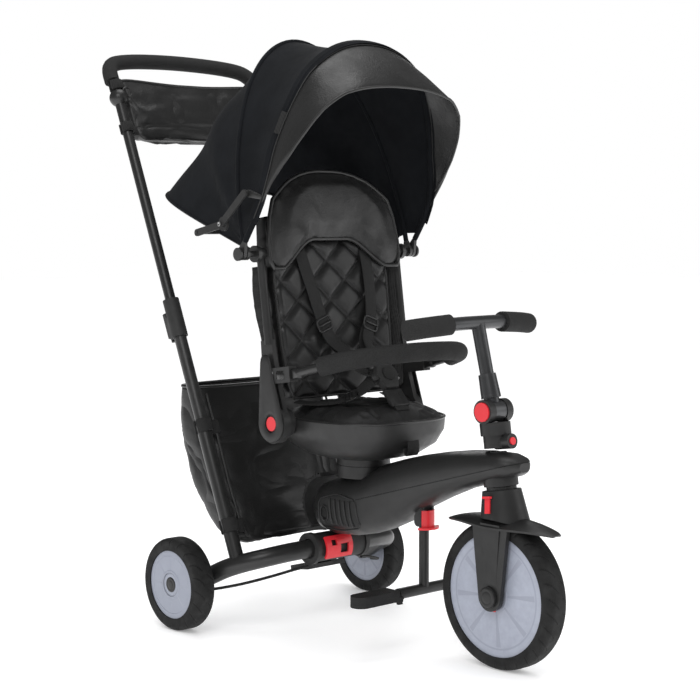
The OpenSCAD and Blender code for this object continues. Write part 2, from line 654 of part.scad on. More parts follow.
upper_from = 340;
upper_to = 862;
handle_half = [
  [-170, 249, 933], [-170.5, 266, 957], [-167, 279, 976], [-157, 289, 988], [-138, 296, 995], [-100, 304, 1000],
  [-50, 310, 1003], [0, handle_back_y, 1004]
];
module upper_tubes() color(black) trike() {
  for (side = [-1, 1]) tube_frame(side) {
    cylinder_between(upper_tube_r, upper_from, upper_to);
    translate([0, 0, upper_to - 2]) sphere(r = 17);
  }
  sweep(smooth(whole(handle_half), 3), 8, 12);
}
module handle_foam() color(rubber) trike() difference() {
  sweep(smooth(whole([for (i = [1 : 7]) handle_half[i]]), 3), handle_foam_r, 16);
  sweep(smooth(whole(handle_half), 3), 8.1, 12);
}
// Sections of the parent bag across the push tubes: distance up the tube, front, back, half width
pouch_sections = [[782, 0, 20, 132], [790, -3, 34, 146], [830, -5, 44, 150], [870, -4, 42, 150], [902, -2, 36, 150]];
module pouch(inset, lift) skin([for (s = pouch_sections)
  oval(s[3] - inset, s[1] + inset, s[2] - inset, s[0] + lift, 4, 28)]);
module parent_bag() color(leather) trike() translate([0, tube_base_y, tube_base_z])
  rotate([-tube_lean, 0, 0]) difference() {
    pouch(0, 0);
    pouch(2.5, 3);
  }

// ---- footrest ----

footrest_z = 98;
pad_hinge_x = 66;
module footrest_frame() color(black) trike() difference() {
  union() {
    translate([0, post_y, footrest_z]) cylinder(r = 8.4, h = post_z - footrest_z - 4);
    translate([0, post_y, footrest_z]) along_x() cylinder(r = 9, h = 2 * pad_hinge_x - 12, center = true);
    translate([0, post_y, post_z]) along_x() cylinder(r = 9, h = 20, center = true);
    mirrored() translate([pad_hinge_x - 8, post_y - 8, footrest_z - 14]) cube([5, 16, 14]);
    mirrored() translate([pad_hinge_x - 4, post_y + 11, footrest_z - 9]) rotate([90, 0, 0]) cylinder(r = 4, h = 22);
    mirrored() translate([pad_hinge_x - 8, post_y - 5, footrest_z - 13]) cube([5, 10, 8]);
  }
  translate([0, post_y, post_z]) along_x() cylinder(r = 4 + fit_gap, h = 30, center = true);
}
module footpad(side) color(rubber) trike() mirror([side < 0 ? 1 : 0, 0, 0])
  translate([pad_hinge_x, post_y, footrest_z]) difference() {
    union() {
      hull() {
        translate([6, -17, -8]) cube([4, 34, 18]);
        translate([76, 0, -8]) cylinder(r = 17, h = 18, $fn = 32);
      }
      for (y = [-17, 11.5]) translate([-4, y, -13]) cube([12, 5.5, 12]);
    }
    translate([-4, 20, -9]) rotate([90, 0, 0]) cylinder(r = 4 + fit_gap, h = 40);
  }
module footrest_release() color(red) trike() translate([0, post_y, 200]) difference() {
  union() {
    ring(17.4, 14.2, 31);
    ring(25, 14.2, 3.4);
  }
  translate([-40, -9, -1]) cube([80, 60, 50]);
}

body_upper();
body_lower();
rear_frame();
axle_clamp();
rear_grip();
turntable_base();
push_tubes_mid();
tube_collars();
storage_bag();
brake_cables();
collar_button(-1);  // collar_button_near
collar_button(1);  // collar_button_far
fold_latch();
brake_pedal();
rear_tyre(-1);  // near_tyre
rear_disc(-1);  // near_disc
rear_tyre(1);  // far_tyre
rear_disc(1);  // far_disc
steering_column();
fork();
front_axle();
front_tyre();
front_disc();
clutch_tab();
wheel_release();
column_button();
stem_button();
stem_hinge();
handlebar_tube();
handlebar_grips();
turntable_top();
seat_shell();
seat_cushion();
crotch_strap();
buckle();
buckle_button();
back_arms();
backrest_pad();
backrest_wings();
headrest();
shoulder_straps();
rear_bow();
recline_button(-1);  // recline_button_near
recline_button(1);  // recline_button_far
safety_bar();
bar_foam();
mid_bow();
front_bow();
canopy_rear_panel();
canopy_front_panel();
canopy_visor();
stay_lower();
stay_upper();
upper_tubes();
handle_foam();
parent_bag();
footrest_frame();
footpad(-1);  // footpad_near
footpad(1);  // footpad_far
footrest_release();
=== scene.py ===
"""Visual model of a folding push tricycle for a small child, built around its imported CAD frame."""

import math

import bpy
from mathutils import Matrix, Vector, noise


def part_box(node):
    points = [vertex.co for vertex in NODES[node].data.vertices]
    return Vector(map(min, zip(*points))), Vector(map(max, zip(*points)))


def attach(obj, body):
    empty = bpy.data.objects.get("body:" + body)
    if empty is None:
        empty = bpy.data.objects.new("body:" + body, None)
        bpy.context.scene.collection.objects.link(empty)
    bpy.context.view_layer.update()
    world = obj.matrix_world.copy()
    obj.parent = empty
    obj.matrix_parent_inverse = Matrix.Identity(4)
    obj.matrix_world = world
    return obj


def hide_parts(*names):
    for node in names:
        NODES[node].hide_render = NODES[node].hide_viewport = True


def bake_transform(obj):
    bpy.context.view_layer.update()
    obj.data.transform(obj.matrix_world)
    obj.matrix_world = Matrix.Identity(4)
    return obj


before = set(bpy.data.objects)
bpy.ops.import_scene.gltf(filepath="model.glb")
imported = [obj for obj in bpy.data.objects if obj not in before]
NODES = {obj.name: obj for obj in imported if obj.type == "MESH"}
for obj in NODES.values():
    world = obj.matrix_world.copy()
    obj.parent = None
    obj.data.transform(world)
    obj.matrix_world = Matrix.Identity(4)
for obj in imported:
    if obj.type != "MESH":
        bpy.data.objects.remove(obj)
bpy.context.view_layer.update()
MM = 0.001


def box_centre(node):
    low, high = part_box(node)
    return (Vector(low) + Vector(high)) / 2


# ---- places, in millimetres from the rear axle line: X across, Y back, Z up from the floor ----

AXLE_Y = box_centre("near_disc").y
FRONT_HUB = box_centre("front_disc")
STEER_LEAN = math.radians(8.5)
BACK_LEAN = math.radians(8)
TUBE_LEAN = math.radians(22.9)
RECLINE = (0, -175, 368)
HUB = (0, -140, 650)
TUBE_X = 170
SIDES = ((-1, "near"), (1, "far"))
CANOPY_MIDDLE = Vector((0, HUB[1], 720))


def at(x, y, z):
    return Vector((x * MM, y * MM + AXLE_Y, z * MM))


def leaning(origin, lean, x, y, z):
    """A point given in a frame at origin whose Z axis leans back by lean."""
    return at(
        origin[0] + x,
        origin[1] + y * math.cos(lean) + z * math.sin(lean),
        origin[2] - y * math.sin(lean) + z * math.cos(lean),
    )


def on_back(x, y, z):
    return leaning(RECLINE, BACK_LEAN, x, y, z)


def on_tube(x, y, z):
    return leaning((0, -88, 135), TUBE_LEAN, x, y, z)


def on_steer(x, y, z):
    return leaning((0, -569, 118.5), STEER_LEAN, x, y, z)


def mix(a, b, t):
    return a + (b - a) * t


def smoothstep(t):
    t = max(0.0, min(1.0, t))
    return t * t * (3 - 2 * t)


# ---- camera ----

CAMERA_AZIMUTH = math.radians(-42.448)
CAMERA_ELEVATION = math.radians(4.603)


def add_camera():
    data = bpy.data.cameras.new("camera")
    data.sensor_width = 36
    data.lens = 86.0
    camera = bpy.data.objects.new("camera", data)
    bpy.context.scene.collection.objects.link(camera)
    camera.location = at(-1931.8, -2302.9, 714.1)
    back = Vector((
        math.sin(CAMERA_AZIMUTH) * math.cos(CAMERA_ELEVATION),
        -math.cos(CAMERA_AZIMUTH) * math.cos(CAMERA_ELEVATION),
        math.sin(CAMERA_ELEVATION),
    ))
    camera.rotation_euler = back.to_track_quat("Z", "Y").to_euler()
    bpy.context.scene.camera = camera


# ---- materials ----


class Nodes:
    """A node tree with short calls for the nodes that the finishes share."""

    def __init__(self, name):
        self.material = bpy.data.materials.new(name)
        self.material.use_nodes = True
        self.tree = self.material.node_tree
        self.shader = self.tree.nodes["Principled BSDF"]
        coordinates = self.tree.nodes.new("ShaderNodeTexCoord")
        self.place = coordinates.outputs["Object"]

    def add(self, kind, **values):
        made = self.tree.nodes.new("ShaderNode" + kind)
        for key, value in values.items():
            if hasattr(made, key):
                setattr(made, key, value)
            else:
                made.inputs[key].default_value = value
        return made

    def link(self, out, to):
        self.tree.links.new(out, to)
        return to.node

    def noise(self, scale, detail=3.0, rough=0.55):
        made = self.add("TexNoise", Scale=scale, Detail=detail, Roughness=rough)
        self.link(self.place, made.inputs["Vector"])
        return made.outputs["Fac"]

    def cells(self, scale, feature="F1"):
        made = self.add("TexVoronoi", feature=feature, Scale=scale)
        self.link(self.place, made.inputs["Vector"])
        return made.outputs["Distance"]

    def ridges(self, scale, direction, turn=(0, 0, 0), profile="SIN"):
        mapping = self.add("Mapping")
        mapping.inputs["Rotation"].default_value = turn
        self.link(self.place, mapping.inputs["Vector"])
        made = self.add("TexWave", bands_direction=direction, wave_profile=profile, Scale=scale)
        self.link(mapping.outputs["Vector"], made.inputs["Vector"])
        return made.outputs["Fac"]

    def remap(self, value, low, high, start=0.0, end=1.0):
        made = self.add("MapRange")
        made.inputs["From Min"].default_value = start
        made.inputs["From Max"].default_value = end
        made.inputs["To Min"].default_value = low
        made.inputs["To Max"].default_value = high
        self.link(value, made.inputs["Value"])
        return made.outputs["Result"]

    def join(self, a, b, operation="ADD"):
        made = self.add("Math", operation=operation)
        for value, socket in ((a, made.inputs[0]), (b, made.inputs[1])):
            if isinstance(value, (int, float)):
                socket.default_value = value
            else:
                self.link(value, socket)
        return made.outputs["Value"]

    def ramp(self, value, low, high):
        made = self.add("ValToRGB")
        made.color_ramp.elements[0].color = (*low, 1)
        made.color_ramp.elements[1].color = (*high, 1)
        self.link(value, made.inputs["Fac"])
        return made.outputs["Color"]

    def painted_edge_highlight(self, colour, light, amount=0.25):
        """Painted highlight: lightens convex edges a little, where they would catch the light, broken up by noise."""
        geometry = self.add("NewGeometry")
        edges = self.remap(geometry.outputs["Pointiness"], 0, amount, 0.52, 0.62)
        patches = self.join(edges, self.noise(90), "MULTIPLY")
        made = self.add("Mix", data_type="RGBA")
        made.inputs[7].default_value = (*light, 1)
        self.link(patches, made.inputs[0])
        self.link(colour, made.inputs[6])
        return made.outputs[2]

    def bump(self, height, strength, distance):
        made = self.add("Bump", Strength=strength, Distance=distance)
        self.link(height, made.inputs["Height"])
        self.link(made.outputs["Normal"], self.shader.inputs["Normal"])

    def finish(self, colour, rough):
        self.link(colour, self.shader.inputs["Base Color"])
        self.link(rough, self.shader.inputs["Roughness"])
        return self.material


def grey(value, blue=0.0):
    return (value, value * (1 + blue / 3), value * (1 + blue))


def plastic(name, dark, light, rough, grain=1400, depth=0.00008, coat=0.0):
    n = Nodes(name)
    n.shader.inputs["Specular IOR Level"].default_value = 0.45
    n.shader.inputs["Coat Weight"].default_value = coat
    # painted highlight: convex edges lightened towards a lighter colour
    colour = n.painted_edge_highlight(n.ramp(n.noise(14), dark, light), tuple(min(1, 2.2 * c + 0.02) for c in light))
    n.bump(n.join(n.noise(grain, 2), n.remap(n.noise(25), 0, 0.5)), 0.35, depth)
    return n.finish(colour, n.remap(n.noise(60, 4), rough - 0.06, rough + 0.08, 0.3, 0.7))


def paint(name, dark, light, rough, metallic=0.0):
    n = Nodes(name)
    n.shader.inputs["Metallic"].default_value = metallic
    n.shader.inputs["Coat Weight"].default_value = 0.15
    n.shader.inputs["Coat Roughness"].default_value = 0.3
    # painted highlight: convex edges lightened towards a lighter colour
    colour = n.painted_edge_highlight(n.ramp(n.noise(900, 2), dark, light), tuple(min(1, 2 * c + 0.05) for c in light), 0.3)
    n.bump(n.noise(1800, 2), 0.25, 0.00006)
    return n.finish(colour, n.remap(n.noise(45, 5), rough - 0.05, rough + 0.07, 0.3, 0.7))


def foam(name, dark, light, rough=0.85):
    n = Nodes(name)
    n.shader.inputs["Specular IOR Level"].default_value = 0.25
    pores = n.join(n.cells(950), n.noise(2200, 2))
    n.bump(pores, 0.6, 0.0004)
    speckle = n.ramp(n.remap(n.cells(700), 0, 1, 0.1, 0.6), dark, light)
    return n.finish(speckle, n.remap(n.noise(30, 4), rough - 0.08, rough + 0.06, 0.3, 0.7))


def leather(name, dark, light, rough, grain=520, depth=0.00035):
    """Soft coated fabric: small irregular cells in the grain, with a gentle satin shine."""
    n = Nodes(name)
    n.shader.inputs["Specular IOR Level"].default_value = 0.5
    n.shader.inputs["Sheen Weight"].default_value = 0.01
    cells = n.remap(n.cells(grain, "SMOOTH_F1"), 0, 1, 0, 0.9)
    creases = n.remap(n.noise(42, 6, 0.62), 0, 1.6, 0.35, 0.65)
    n.bump(n.join(cells, creases), 0.45, depth)
    # painted highlight: convex edges lightened towards a lighter colour
    colour = n.painted_edge_highlight(n.ramp(n.noise(9, 5), dark, light), tuple(1.6 * c + 0.015 for c in light), 0.35)
    return n.finish(colour, n.remap(n.noise(22, 5), rough - 0.09, rough + 0.1, 0.3, 0.7))


def woven(name, dark, light, thread=1.4, rough=0.9, sheen=0.02):
    """Plain weave: two crossed sets of threads, thread millimetres apart, over a mottled dyed colour; the colour is
    painted lighter on the thread crossings and darker between the threads, as painted shade.
    """
    n = Nodes(name)
    n.shader.inputs["Specular IOR Level"].default_value = 0.08
    n.shader.inputs["Sheen Weight"].default_value = sheen
    n.shader.inputs["Sheen Roughness"].default_value = 0.45
    scale = 314.0 / thread
    across = n.ridges(scale, "X", (0.2, 0, 0.75))
    along = n.ridges(scale, "Z", (0.35, 0.3, 0))
    threads = n.join(across, along, "MULTIPLY")
    n.bump(n.join(threads, n.noise(700, 3)), 0.5, 0.0003)
    # painted shade: darker between the threads and lighter on their crossings; the noise is the mottled dyed colour
    thread_shade_and_dye = n.join(n.remap(threads, 0, 0.6), n.remap(n.noise(16, 5), 0, 0.5, 0.3, 0.7))
    return n.finish(n.ramp(thread_shade_and_dye, dark, light), n.remap(n.noise(50), rough - 0.08, rough + 0.08, 0.3, 0.7))


def webbing(name, dark, light):
    n = Nodes(name)
    n.shader.inputs["Specular IOR Level"].default_value = 0.2
    n.shader.inputs["Sheen Weight"].default_value = 0.02
    ribs = n.join(n.ridges(170, "X"), n.ridges(150, "Z", (0.5, 0, 0)), "MAXIMUM")
    n.bump(n.join(ribs, n.noise(1500, 2)), 0.6, 0.0004)
    # painted shade: the colour is darker between the ribs and lighter on them
    return n.finish(n.ramp(ribs, dark, light), n.remap(n.noise(40), 0.68, 0.85, 0.3, 0.7))


def netting(name, dark, light, hole=2.6):
    """Knitted spacer mesh: rows of small holes, darkened in the colour as painted shade."""
    n = Nodes(name)
    n.shader.inputs["Specular IOR Level"].default_value = 0.2
    made = n.add("TexVoronoi", feature="F1", Scale=1000 / hole, Randomness=0.15)
    n.link(n.place, made.inputs["Vector"])
    holes = n.remap(made.outputs["Distance"], 0, 1, 0.18, 0.42)
    n.bump(n.join(holes, n.noise(900)), 0.8, 0.0006)
    # painted shade: the colour darkens towards the middle of each hole
    return n.finish(n.ramp(holes, dark, light), n.remap(n.noise(40), 0.7, 0.9, 0.3, 0.7))


def tread(name, centre, count, radius):
    """Foam tyre with a shallow tread of short blocks either side of the middle, round centre."""
    n = Nodes(name)
    n.shader.inputs["Specular IOR Level"].default_value = 0.3
    split = n.add("SeparateXYZ")
    n.link(n.place, split.inputs["Vector"])
    y = n.join(split.outputs["Y"], centre.y, "SUBTRACT")
    z = n.join(split.outputs["Z"], centre.z, "SUBTRACT")
    x = n.join(split.outputs["X"], centre.x, "SUBTRACT")
    angle = n.join(n.join(y, z, "ARCTAN2"), count, "MULTIPLY")
    side = n.join(n.join(x, 260.0, "MULTIPLY"), angle, "ADD")
    blocks = n.join(side, 0.0, "SINE")
    far = n.join(n.join(n.join(y, y, "MULTIPLY"), n.join(z, z, "MULTIPLY")), 0.5, "POWER")
    band = n.remap(far, 0, 1, radius - 0.013, radius - 0.007)
    middle = n.remap(n.join(x, 0.0, "ABSOLUTE"), 0, 1, 0.003, 0.0045)
    cut = n.join(n.join(n.remap(blocks, 0, 1, 0.86, 0.97), band, "MULTIPLY"), middle, "MULTIPLY")
    n.bump(n.join(n.join(cut, -1.0, "MULTIPLY"), n.remap(n.noise(1200, 2), 0, 0.12)), 0.9, 0.0012)
    # painted shade: the tread grooves are darkened in the colour, over random tone
    shade = n.join(n.remap(n.noise(40, 5), 0, 0.8, 0.3, 0.7), n.join(cut, -0.35, "MULTIPLY"))
    return n.finish(n.ramp(shade, grey(0.006), grey(0.02)), n.remap(n.noise(70), 0.62, 0.8, 0.3, 0.7))


BLACK_SATIN = plastic("black_satin", grey(0.011), grey(0.017), 0.42)
BLACK_GLOSS = plastic("black_gloss", grey(0.009), grey(0.014), 0.27, coat=0.15)
BLACK_MATT = plastic("black_matt", grey(0.012), grey(0.02), 0.6, grain=900)
RED = plastic("red_control", (0.55, 0.012, 0.02), (0.68, 0.02, 0.03), 0.36, coat=0.1)
DISC = plastic("pale_disc", (0.25, 0.268, 0.325), (0.29, 0.31, 0.37), 0.36, grain=700)
TUBE_BLACK = paint("tube_black", grey(0.010), grey(0.016), 0.36)
GUNMETAL = paint("gunmetal", grey(0.055, 0.06), grey(0.08, 0.06), 0.34, 0.75)
STEEL = paint("plain_steel", grey(0.35), grey(0.45), 0.32, 1.0)
FOAM = foam("grip_foam", grey(0.010), grey(0.022))
LEATHER = leather("coated_fabric", grey(0.009), grey(0.014), 0.38)
LEATHER_SOFT = leather("coated_fabric_soft", grey(0.011), grey(0.017), 0.44, grain=430, depth=0.0005)
CANOPY = woven("canopy_cloth", grey(0.0055, 0.3), grey(0.012, 0.3))
WEBBING = webbing("webbing", grey(0.010), grey(0.022))
NETTING = netting("spacer_mesh", grey(0.004), grey(0.022))
PIPING = leather("piping", grey(0.012), grey(0.02), 0.34, grain=900, depth=0.0001)
THREAD = woven("stitch_thread", grey(0.03), grey(0.05), thread=0.8)
RUBBER = foam("black_rubber", grey(0.012), grey(0.018), 0.68)


def coat(material, *nodes):
    """Gives carried-over CAD nodes their finish."""
    for name in nodes:
        data = NODES[name].data
        data.materials.clear()
        data.materials.append(material)


coat(BLACK_SATIN, "body_upper", "body_lower", "turntable_base", "turntable_top", "seat_shell",
     "back_arms", "footrest_frame", "steering_column", "fork")
coat(BLACK_MATT, "axle_clamp", "rear_grip", "tube_collars", "brake_pedal", "stay_lower", "stay_upper",
     "collar_button_near", "collar_button_far", "buckle")
coat(TUBE_BLACK, "rear_frame", "push_tubes_mid", "upper_tubes", "safety_bar", "rear_bow", "mid_bow",
     "front_bow")
coat(GUNMETAL, "stem_hinge", "handlebar_tube")
coat(STEEL, "front_axle")
coat(RED, "fold_latch", "clutch_tab", "wheel_release", "column_button", "stem_button",
     "recline_button_near", "recline_button_far", "footrest_release", "buckle_button")
coat(DISC, "near_disc", "far_disc", "front_disc")
coat(FOAM, "handle_foam", "bar_foam", "handlebar_grips")
coat(RUBBER, "brake_cables", "footpad_near", "footpad_far")
coat(tread("rear_tread_near", box_centre("near_disc"), 20, 0.080), "near_tyre")
coat(tread("rear_tread_far", box_centre("far_disc"), 20, 0.080), "far_tyre")
coat(tread("front_tread", FRONT_HUB, 30, 0.1185), "front_tyre")
coat(BLACK_SATIN, "buckle_button")
coat(LEATHER, "storage_bag", "parent_bag", "seat_cushion", "backrest_pad", "headrest")
coat(CANOPY, "canopy_rear_panel", "canopy_front_panel")
coat(LEATHER_SOFT, "canopy_visor")
coat(NETTING, "backrest_wings")
coat(WEBBING, "shoulder_straps", "crotch_strap")


# ---- stage ----


def add_stage():
    scene = bpy.context.scene
    scene.view_settings.view_transform = "Standard"
    world = bpy.data.worlds.new("studio")
    world.use_nodes = True
    background = world.node_tree.nodes["Background"]
    background.inputs["Color"].default_value = (1.0, 1.0, 1.0, 1)
    path = world.node_tree.nodes.new("ShaderNodeLightPath")
    strength = world.node_tree.nodes.new("ShaderNodeMapRange")
    strength.inputs["To Min"].default_value = 1.0
    strength.inputs["To Max"].default_value = 0.13
    world.node_tree.links.new(path.outputs["Is Glossy Ray"], strength.inputs["Value"])
    world.node_tree.links.new(strength.outputs["Result"], background.inputs["Strength"])
    scene.world = world
    mesh = bpy.data.meshes.new("floor")
    size = 14
    mesh.from_pydata([(-size, -size, 0), (size, -size, 0), (size, size, 0), (-size, size, 0)], [], [(0, 1, 2, 3)])
    floor = bpy.data.objects.new("floor", mesh)
    scene.collection.objects.link(floor)
    n = Nodes("pale_floor")
    n.shader.inputs["Emission Color"].default_value = (1, 1, 1, 1)
    n.shader.inputs["Emission Strength"].default_value = 0.22
    n.bump(n.noise(60, 2), 0.02, 0.0005)
    colour = n.ramp(n.noise(2), (0.93, 0.93, 0.935), (0.95, 0.95, 0.955))
    mesh.materials.append(n.finish(colour, n.remap(n.noise(3), 0.6, 0.7)))
    lights = [
        ("key", (-1.9, -1.4, 2.4), 1.5, 24),
        ("fill", (1.9, -2.2, 1.3), 1.4, 9),
        ("top", (0.2, 0.2, 2.9), 1.6, 22),
        ("back", (1.6, 1.9, 1.7), 1.2, 12),
    ]
    for name, place, width, power in lights:
        data = bpy.data.lights.new(name, "AREA")
        data.size = width
        data.energy = power
        light = bpy.data.objects.new(name, data)
        light.location = place
        light.rotation_euler = (Vector(place) - Vector((0, 0, 0.5))).to_track_quat("Z", "Y").to_euler()
        scene.collection.objects.link(light)


add_camera()
add_stage()

# ---- mesh making ----


def add_mesh(name, points, faces, material, body):
    mesh = bpy.data.meshes.new(name)
    mesh.from_pydata([tuple(p) for p in points], [], faces)
    mesh.validate()
    for face in mesh.polygons:
        face.use_smooth = True
    mesh.materials.append(material)
    piece = bpy.data.objects.new(name, mesh)
    bpy.context.scene.collection.objects.link(piece)
    if body:
        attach(piece, body)
    return piece


def loft(name, rings, material, body, closed=True, caps=True):
    """Skin over rings of equal length; each ring is a loop when closed, or a row when not."""
    n = len(rings[0])
    span = n if closed else n - 1
    faces = [
        (i * n + k, i * n + (k + 1) % n, (i + 1) * n + (k + 1) % n, (i + 1) * n + k)
        for i in range(len(rings) - 1)
        for k in range(span)
    ]
    if closed and caps:
        faces.append(tuple(reversed(range(n))))
        faces.append(tuple((len(rings) - 1) * n + k for k in range(n)))
    return add_mesh(name, [p for ring in rings for p in ring], faces, material, body)


def spline(points, steps=6):
    """Catmull-Rom curve through points."""
    out = []
    for i in range(len(points) - 1):
        a, b, c, d = (Vector(points[max(0, min(j, len(points) - 1))]) for j in (i - 1, i, i + 1, i + 2))
        for k in range(steps):
            t = k / steps
            out.append(0.5 * (2 * b + (c - a) * t + (2 * a - 5 * b + 4 * c - d) * t * t
                              + (3 * b - a - 3 * c + d) * t ** 3))
    return out + [Vector(points[-1])]


def tangent(path, i):
    return (path[min(i + 1, len(path) - 1)] - path[max(i - 1, 0)]).normalized()


def tube(name, path, radius, material, body, sides=14, loop=False):
    """Round tube with domed ends, or a ring when loop is set. radius is a number or one per point."""
    radii = radius if isinstance(radius, (list, tuple)) else [radius] * len(path)
    count = len(path)
    normal = tangent(path, 0).orthogonal().normalized()
    rings = []
    for i, p in enumerate(path):
        along = (path[(i + 1) % count] - path[i - 1]).normalized() if loop else tangent(path, i)
        normal = (normal - normal.dot(along) * along).normalized()
        side = along.cross(normal)
        rings.append([
            p + radii[i] * (math.cos(a) * normal + math.sin(a) * side)
            for a in (2 * math.pi * k / sides for k in range(sides))
        ])
    if loop:
        piece = loft(name, rings + [rings[0]], material, body, caps=False)
        return piece
    for end, along in ((0, -tangent(path, 0)), (-1, tangent(path, count - 1))):
        middle = path[end]
        domes = [
            [middle + math.cos(a) * (q - middle) + along * radii[end] * math.sin(a) * 0.5 for q in rings[end]]
            for a in (math.radians(d) for d in (35, 65, 85))
        ]
        rings = list(reversed(domes)) + rings if end == 0 else rings + domes
    return loft(name, rings, material, body)


def band(name, path, facing, width, thick, material, body):
    """Flat strap along path. facing gives the direction its flat side looks, one for all or one per point."""
    rings = []
    for i, p in enumerate(path):
        along = tangent(path, i)
        out = Vector(facing[i] if isinstance(facing, list) else facing)
        out = (out - out.dot(along) * along).normalized()
        side = along.cross(out)
        half, t = width / 2, thick / 2
        edge = [(-half, -t * 0.5), (-half * 0.96, -t), (0, -t * 0.9), (half * 0.96, -t), (half, -t * 0.5),
                (half, t * 0.5), (half * 0.96, t), (0, t * 0.9), (-half * 0.96, t), (-half, t * 0.5)]
        rings.append([p + side * u + out * v for u, v in edge])
    return loft(name, rings, material, body)


def oval(w, y0, y1, z, n, count, place):
    """Rounded-rectangle loop at height z, through place(x, y, z)."""
    ring = []
    for k in range(count):
        a = 2 * math.pi * k / count
        c, s = math.cos(a), math.sin(a)
        ring.append(place(
            w * math.copysign(abs(c) ** (2 / n), c),
            (y0 + y1) / 2 + (y1 - y0) / 2 * math.copysign(abs(s) ** (2 / n), s),
            z,
        ))
    return ring


def between(table, value):
    """Reads a table of (key, values...) rows by smooth steps between its keys."""
    if value <= table[0][0]:
        return table[0][1:]
    for low, high in zip(table, table[1:]):
        if value <= high[0]:
            t = (value - low[0]) / (high[0] - low[0])
            return tuple(mix(a, b, t) for a, b in zip(low[1:], high[1:]))
    return table[-1][1:]


def add_modifier(piece, kind, **values):
    made = piece.modifiers.new(kind.lower(), kind)
    for key, value in values.items():
        setattr(made, key, value)
    return made


def bake_modifiers(piece):
    """Applies a piece's modifiers to its mesh."""
    depsgraph = bpy.context.evaluated_depsgraph_get()
    mesh = bpy.data.meshes.new_from_object(piece.evaluated_get(depsgraph))
    piece.modifiers.clear()
    piece.data = mesh
    for face in mesh.polygons:
        face.use_smooth = True


def displace(piece, height):
    """Moves each vertex along its normal by height(place in mm) mm."""
    mesh = piece.data
    moves = [height(v.co / MM) * MM * v.normal for v in mesh.vertices]
    for v, move in zip(mesh.vertices, moves):
        v.co += move
    mesh.update()


def puff(piece, cap, hold=None, voxel=0.005, pressure=4.0, frames=20):
    """Inflates a stuffed piece by cloth simulation. No point moves more than cap (mm), less where hold() < 1."""
    add_modifier(piece, "REMESH", mode="VOXEL", voxel_size=voxel)
    bpy.context.view_layer.update()
    bake_modifiers(piece)
    rest = [v.co.copy() for v in piece.data.vertices]
    cloth = add_modifier(piece, "CLOTH")
    settings = cloth.settings
    settings.quality = 4
    settings.use_pressure = True
    settings.uniform_pressure_force = pressure
    settings.effector_weights.gravity = 0
    settings.tension_stiffness = 12
    settings.compression_stiffness = 12
    settings.bending_stiffness = 1.2
    cloth.collision_settings.use_collision = False
    scene = bpy.context.scene
    for step in range(1, frames + 1):
        scene.frame_set(step)
    result = piece.evaluated_get(bpy.context.evaluated_depsgraph_get())
    moved = [v.co.copy() for v in result.data.vertices]
    piece.modifiers.clear()
    scene.frame_set(1)
    for v, start, end in zip(piece.data.vertices, rest, moved):
        move = end - start
        limit = cap * MM * (hold(start / MM) if hold else 1)
        if move.length > limit:
            move *= limit / move.length
        v.co = start + move
    add_modifier(piece, "SUBSURF", levels=1, render_levels=1)
    bpy.context.view_layer.update()
    bake_modifiers(piece)


def wrinkle(p, size, depth, seed=0.0):
    """Irregular soft creases: ridged noise in millimetres."""
    q = Vector(p) / size + Vector((seed, seed * 1.7, seed * 2.3))
    ridge = 1 - abs(noise.noise(q)) * 2.2
    return depth * (max(ridge, 0) ** 3 - 0.35 + 0.5 * noise.noise(q * 2.1))


def smooth_nodes(*names):
    """Rounds off the shading of faceted CAD nodes, and keeps their real edges."""
    for name in names:
        node = NODES[name]
        for face in node.data.polygons:
            face.use_smooth = True
        add_modifier(node, "WELD", merge_threshold=0.00002)
        add_modifier(node, "EDGE_SPLIT", split_angle=math.radians(38))


# ---- canopy ----


def profile_at(profile, u):
    f = u * (len(profile) - 1)
    i = min(int(f), len(profile) - 2)
    a, b = profile[i], profile[i + 1]
    return mix(a[0], b[0], f - i), mix(a[1], b[1], f - i)


def arch(width, profile, squareness, count=72):
    """Bow over the child, its points evenly spaced, from the near side over the crown to the far side."""
    raw = []
    for k in range(361):
        a = math.radians(k / 2)
        y, z = profile_at(profile, abs(math.sin(a)) ** (2 / squareness))
        raw.append(Vector((-width * math.copysign(abs(math.cos(a)) ** (2 / squareness), math.cos(a)), y, z)))
    length = [0.0]
    for p, q in zip(raw, raw[1:]):
        length.append(length[-1] + (q - p).length)
    out, j = [], 0
    for k in range(count + 1):
        target = length[-1] * k / count
        while j < len(raw) - 2 and length[j + 1] < target:
            j += 1
        t = (target - length[j]) / max(length[j + 1] - length[j], 1e-9)
        out.append(raw[j].lerp(raw[j + 1], min(max(t, 0), 1)))
    return out


def hub_ray(angle, start, end, count=12):
    a = math.radians(angle)
    return [
        (HUB[1] + mix(start, end, i / count) * math.sin(a), HUB[2] + mix(start, end, i / count) * math.cos(a))
        for i in range(count + 1)
    ]


REAR_ARCH = arch(162, hub_ray(71, 13, 338), 5)
MID_ARCH = arch(188, hub_ray(13.3, 20, 377), 2.0)
FRONT_PROFILE = [(-150, 672), (-172, 704), (-190, 740), (-199, 780), (-203, 820), (-212, 860), (-220, 900),
                 (-227, 940), (-232, 970), (-234, 1000)]
FRONT_ARCH = arch(196, FRONT_PROFILE, 2.2)
VISOR_PROFILE = [(-202, 756), (-224, 780), (-250, 810), (-276, 846), (-298, 882), (-312, 908), (-316, 924)]
VISOR_ARCH = arch(193, VISOR_PROFILE, 2.3)


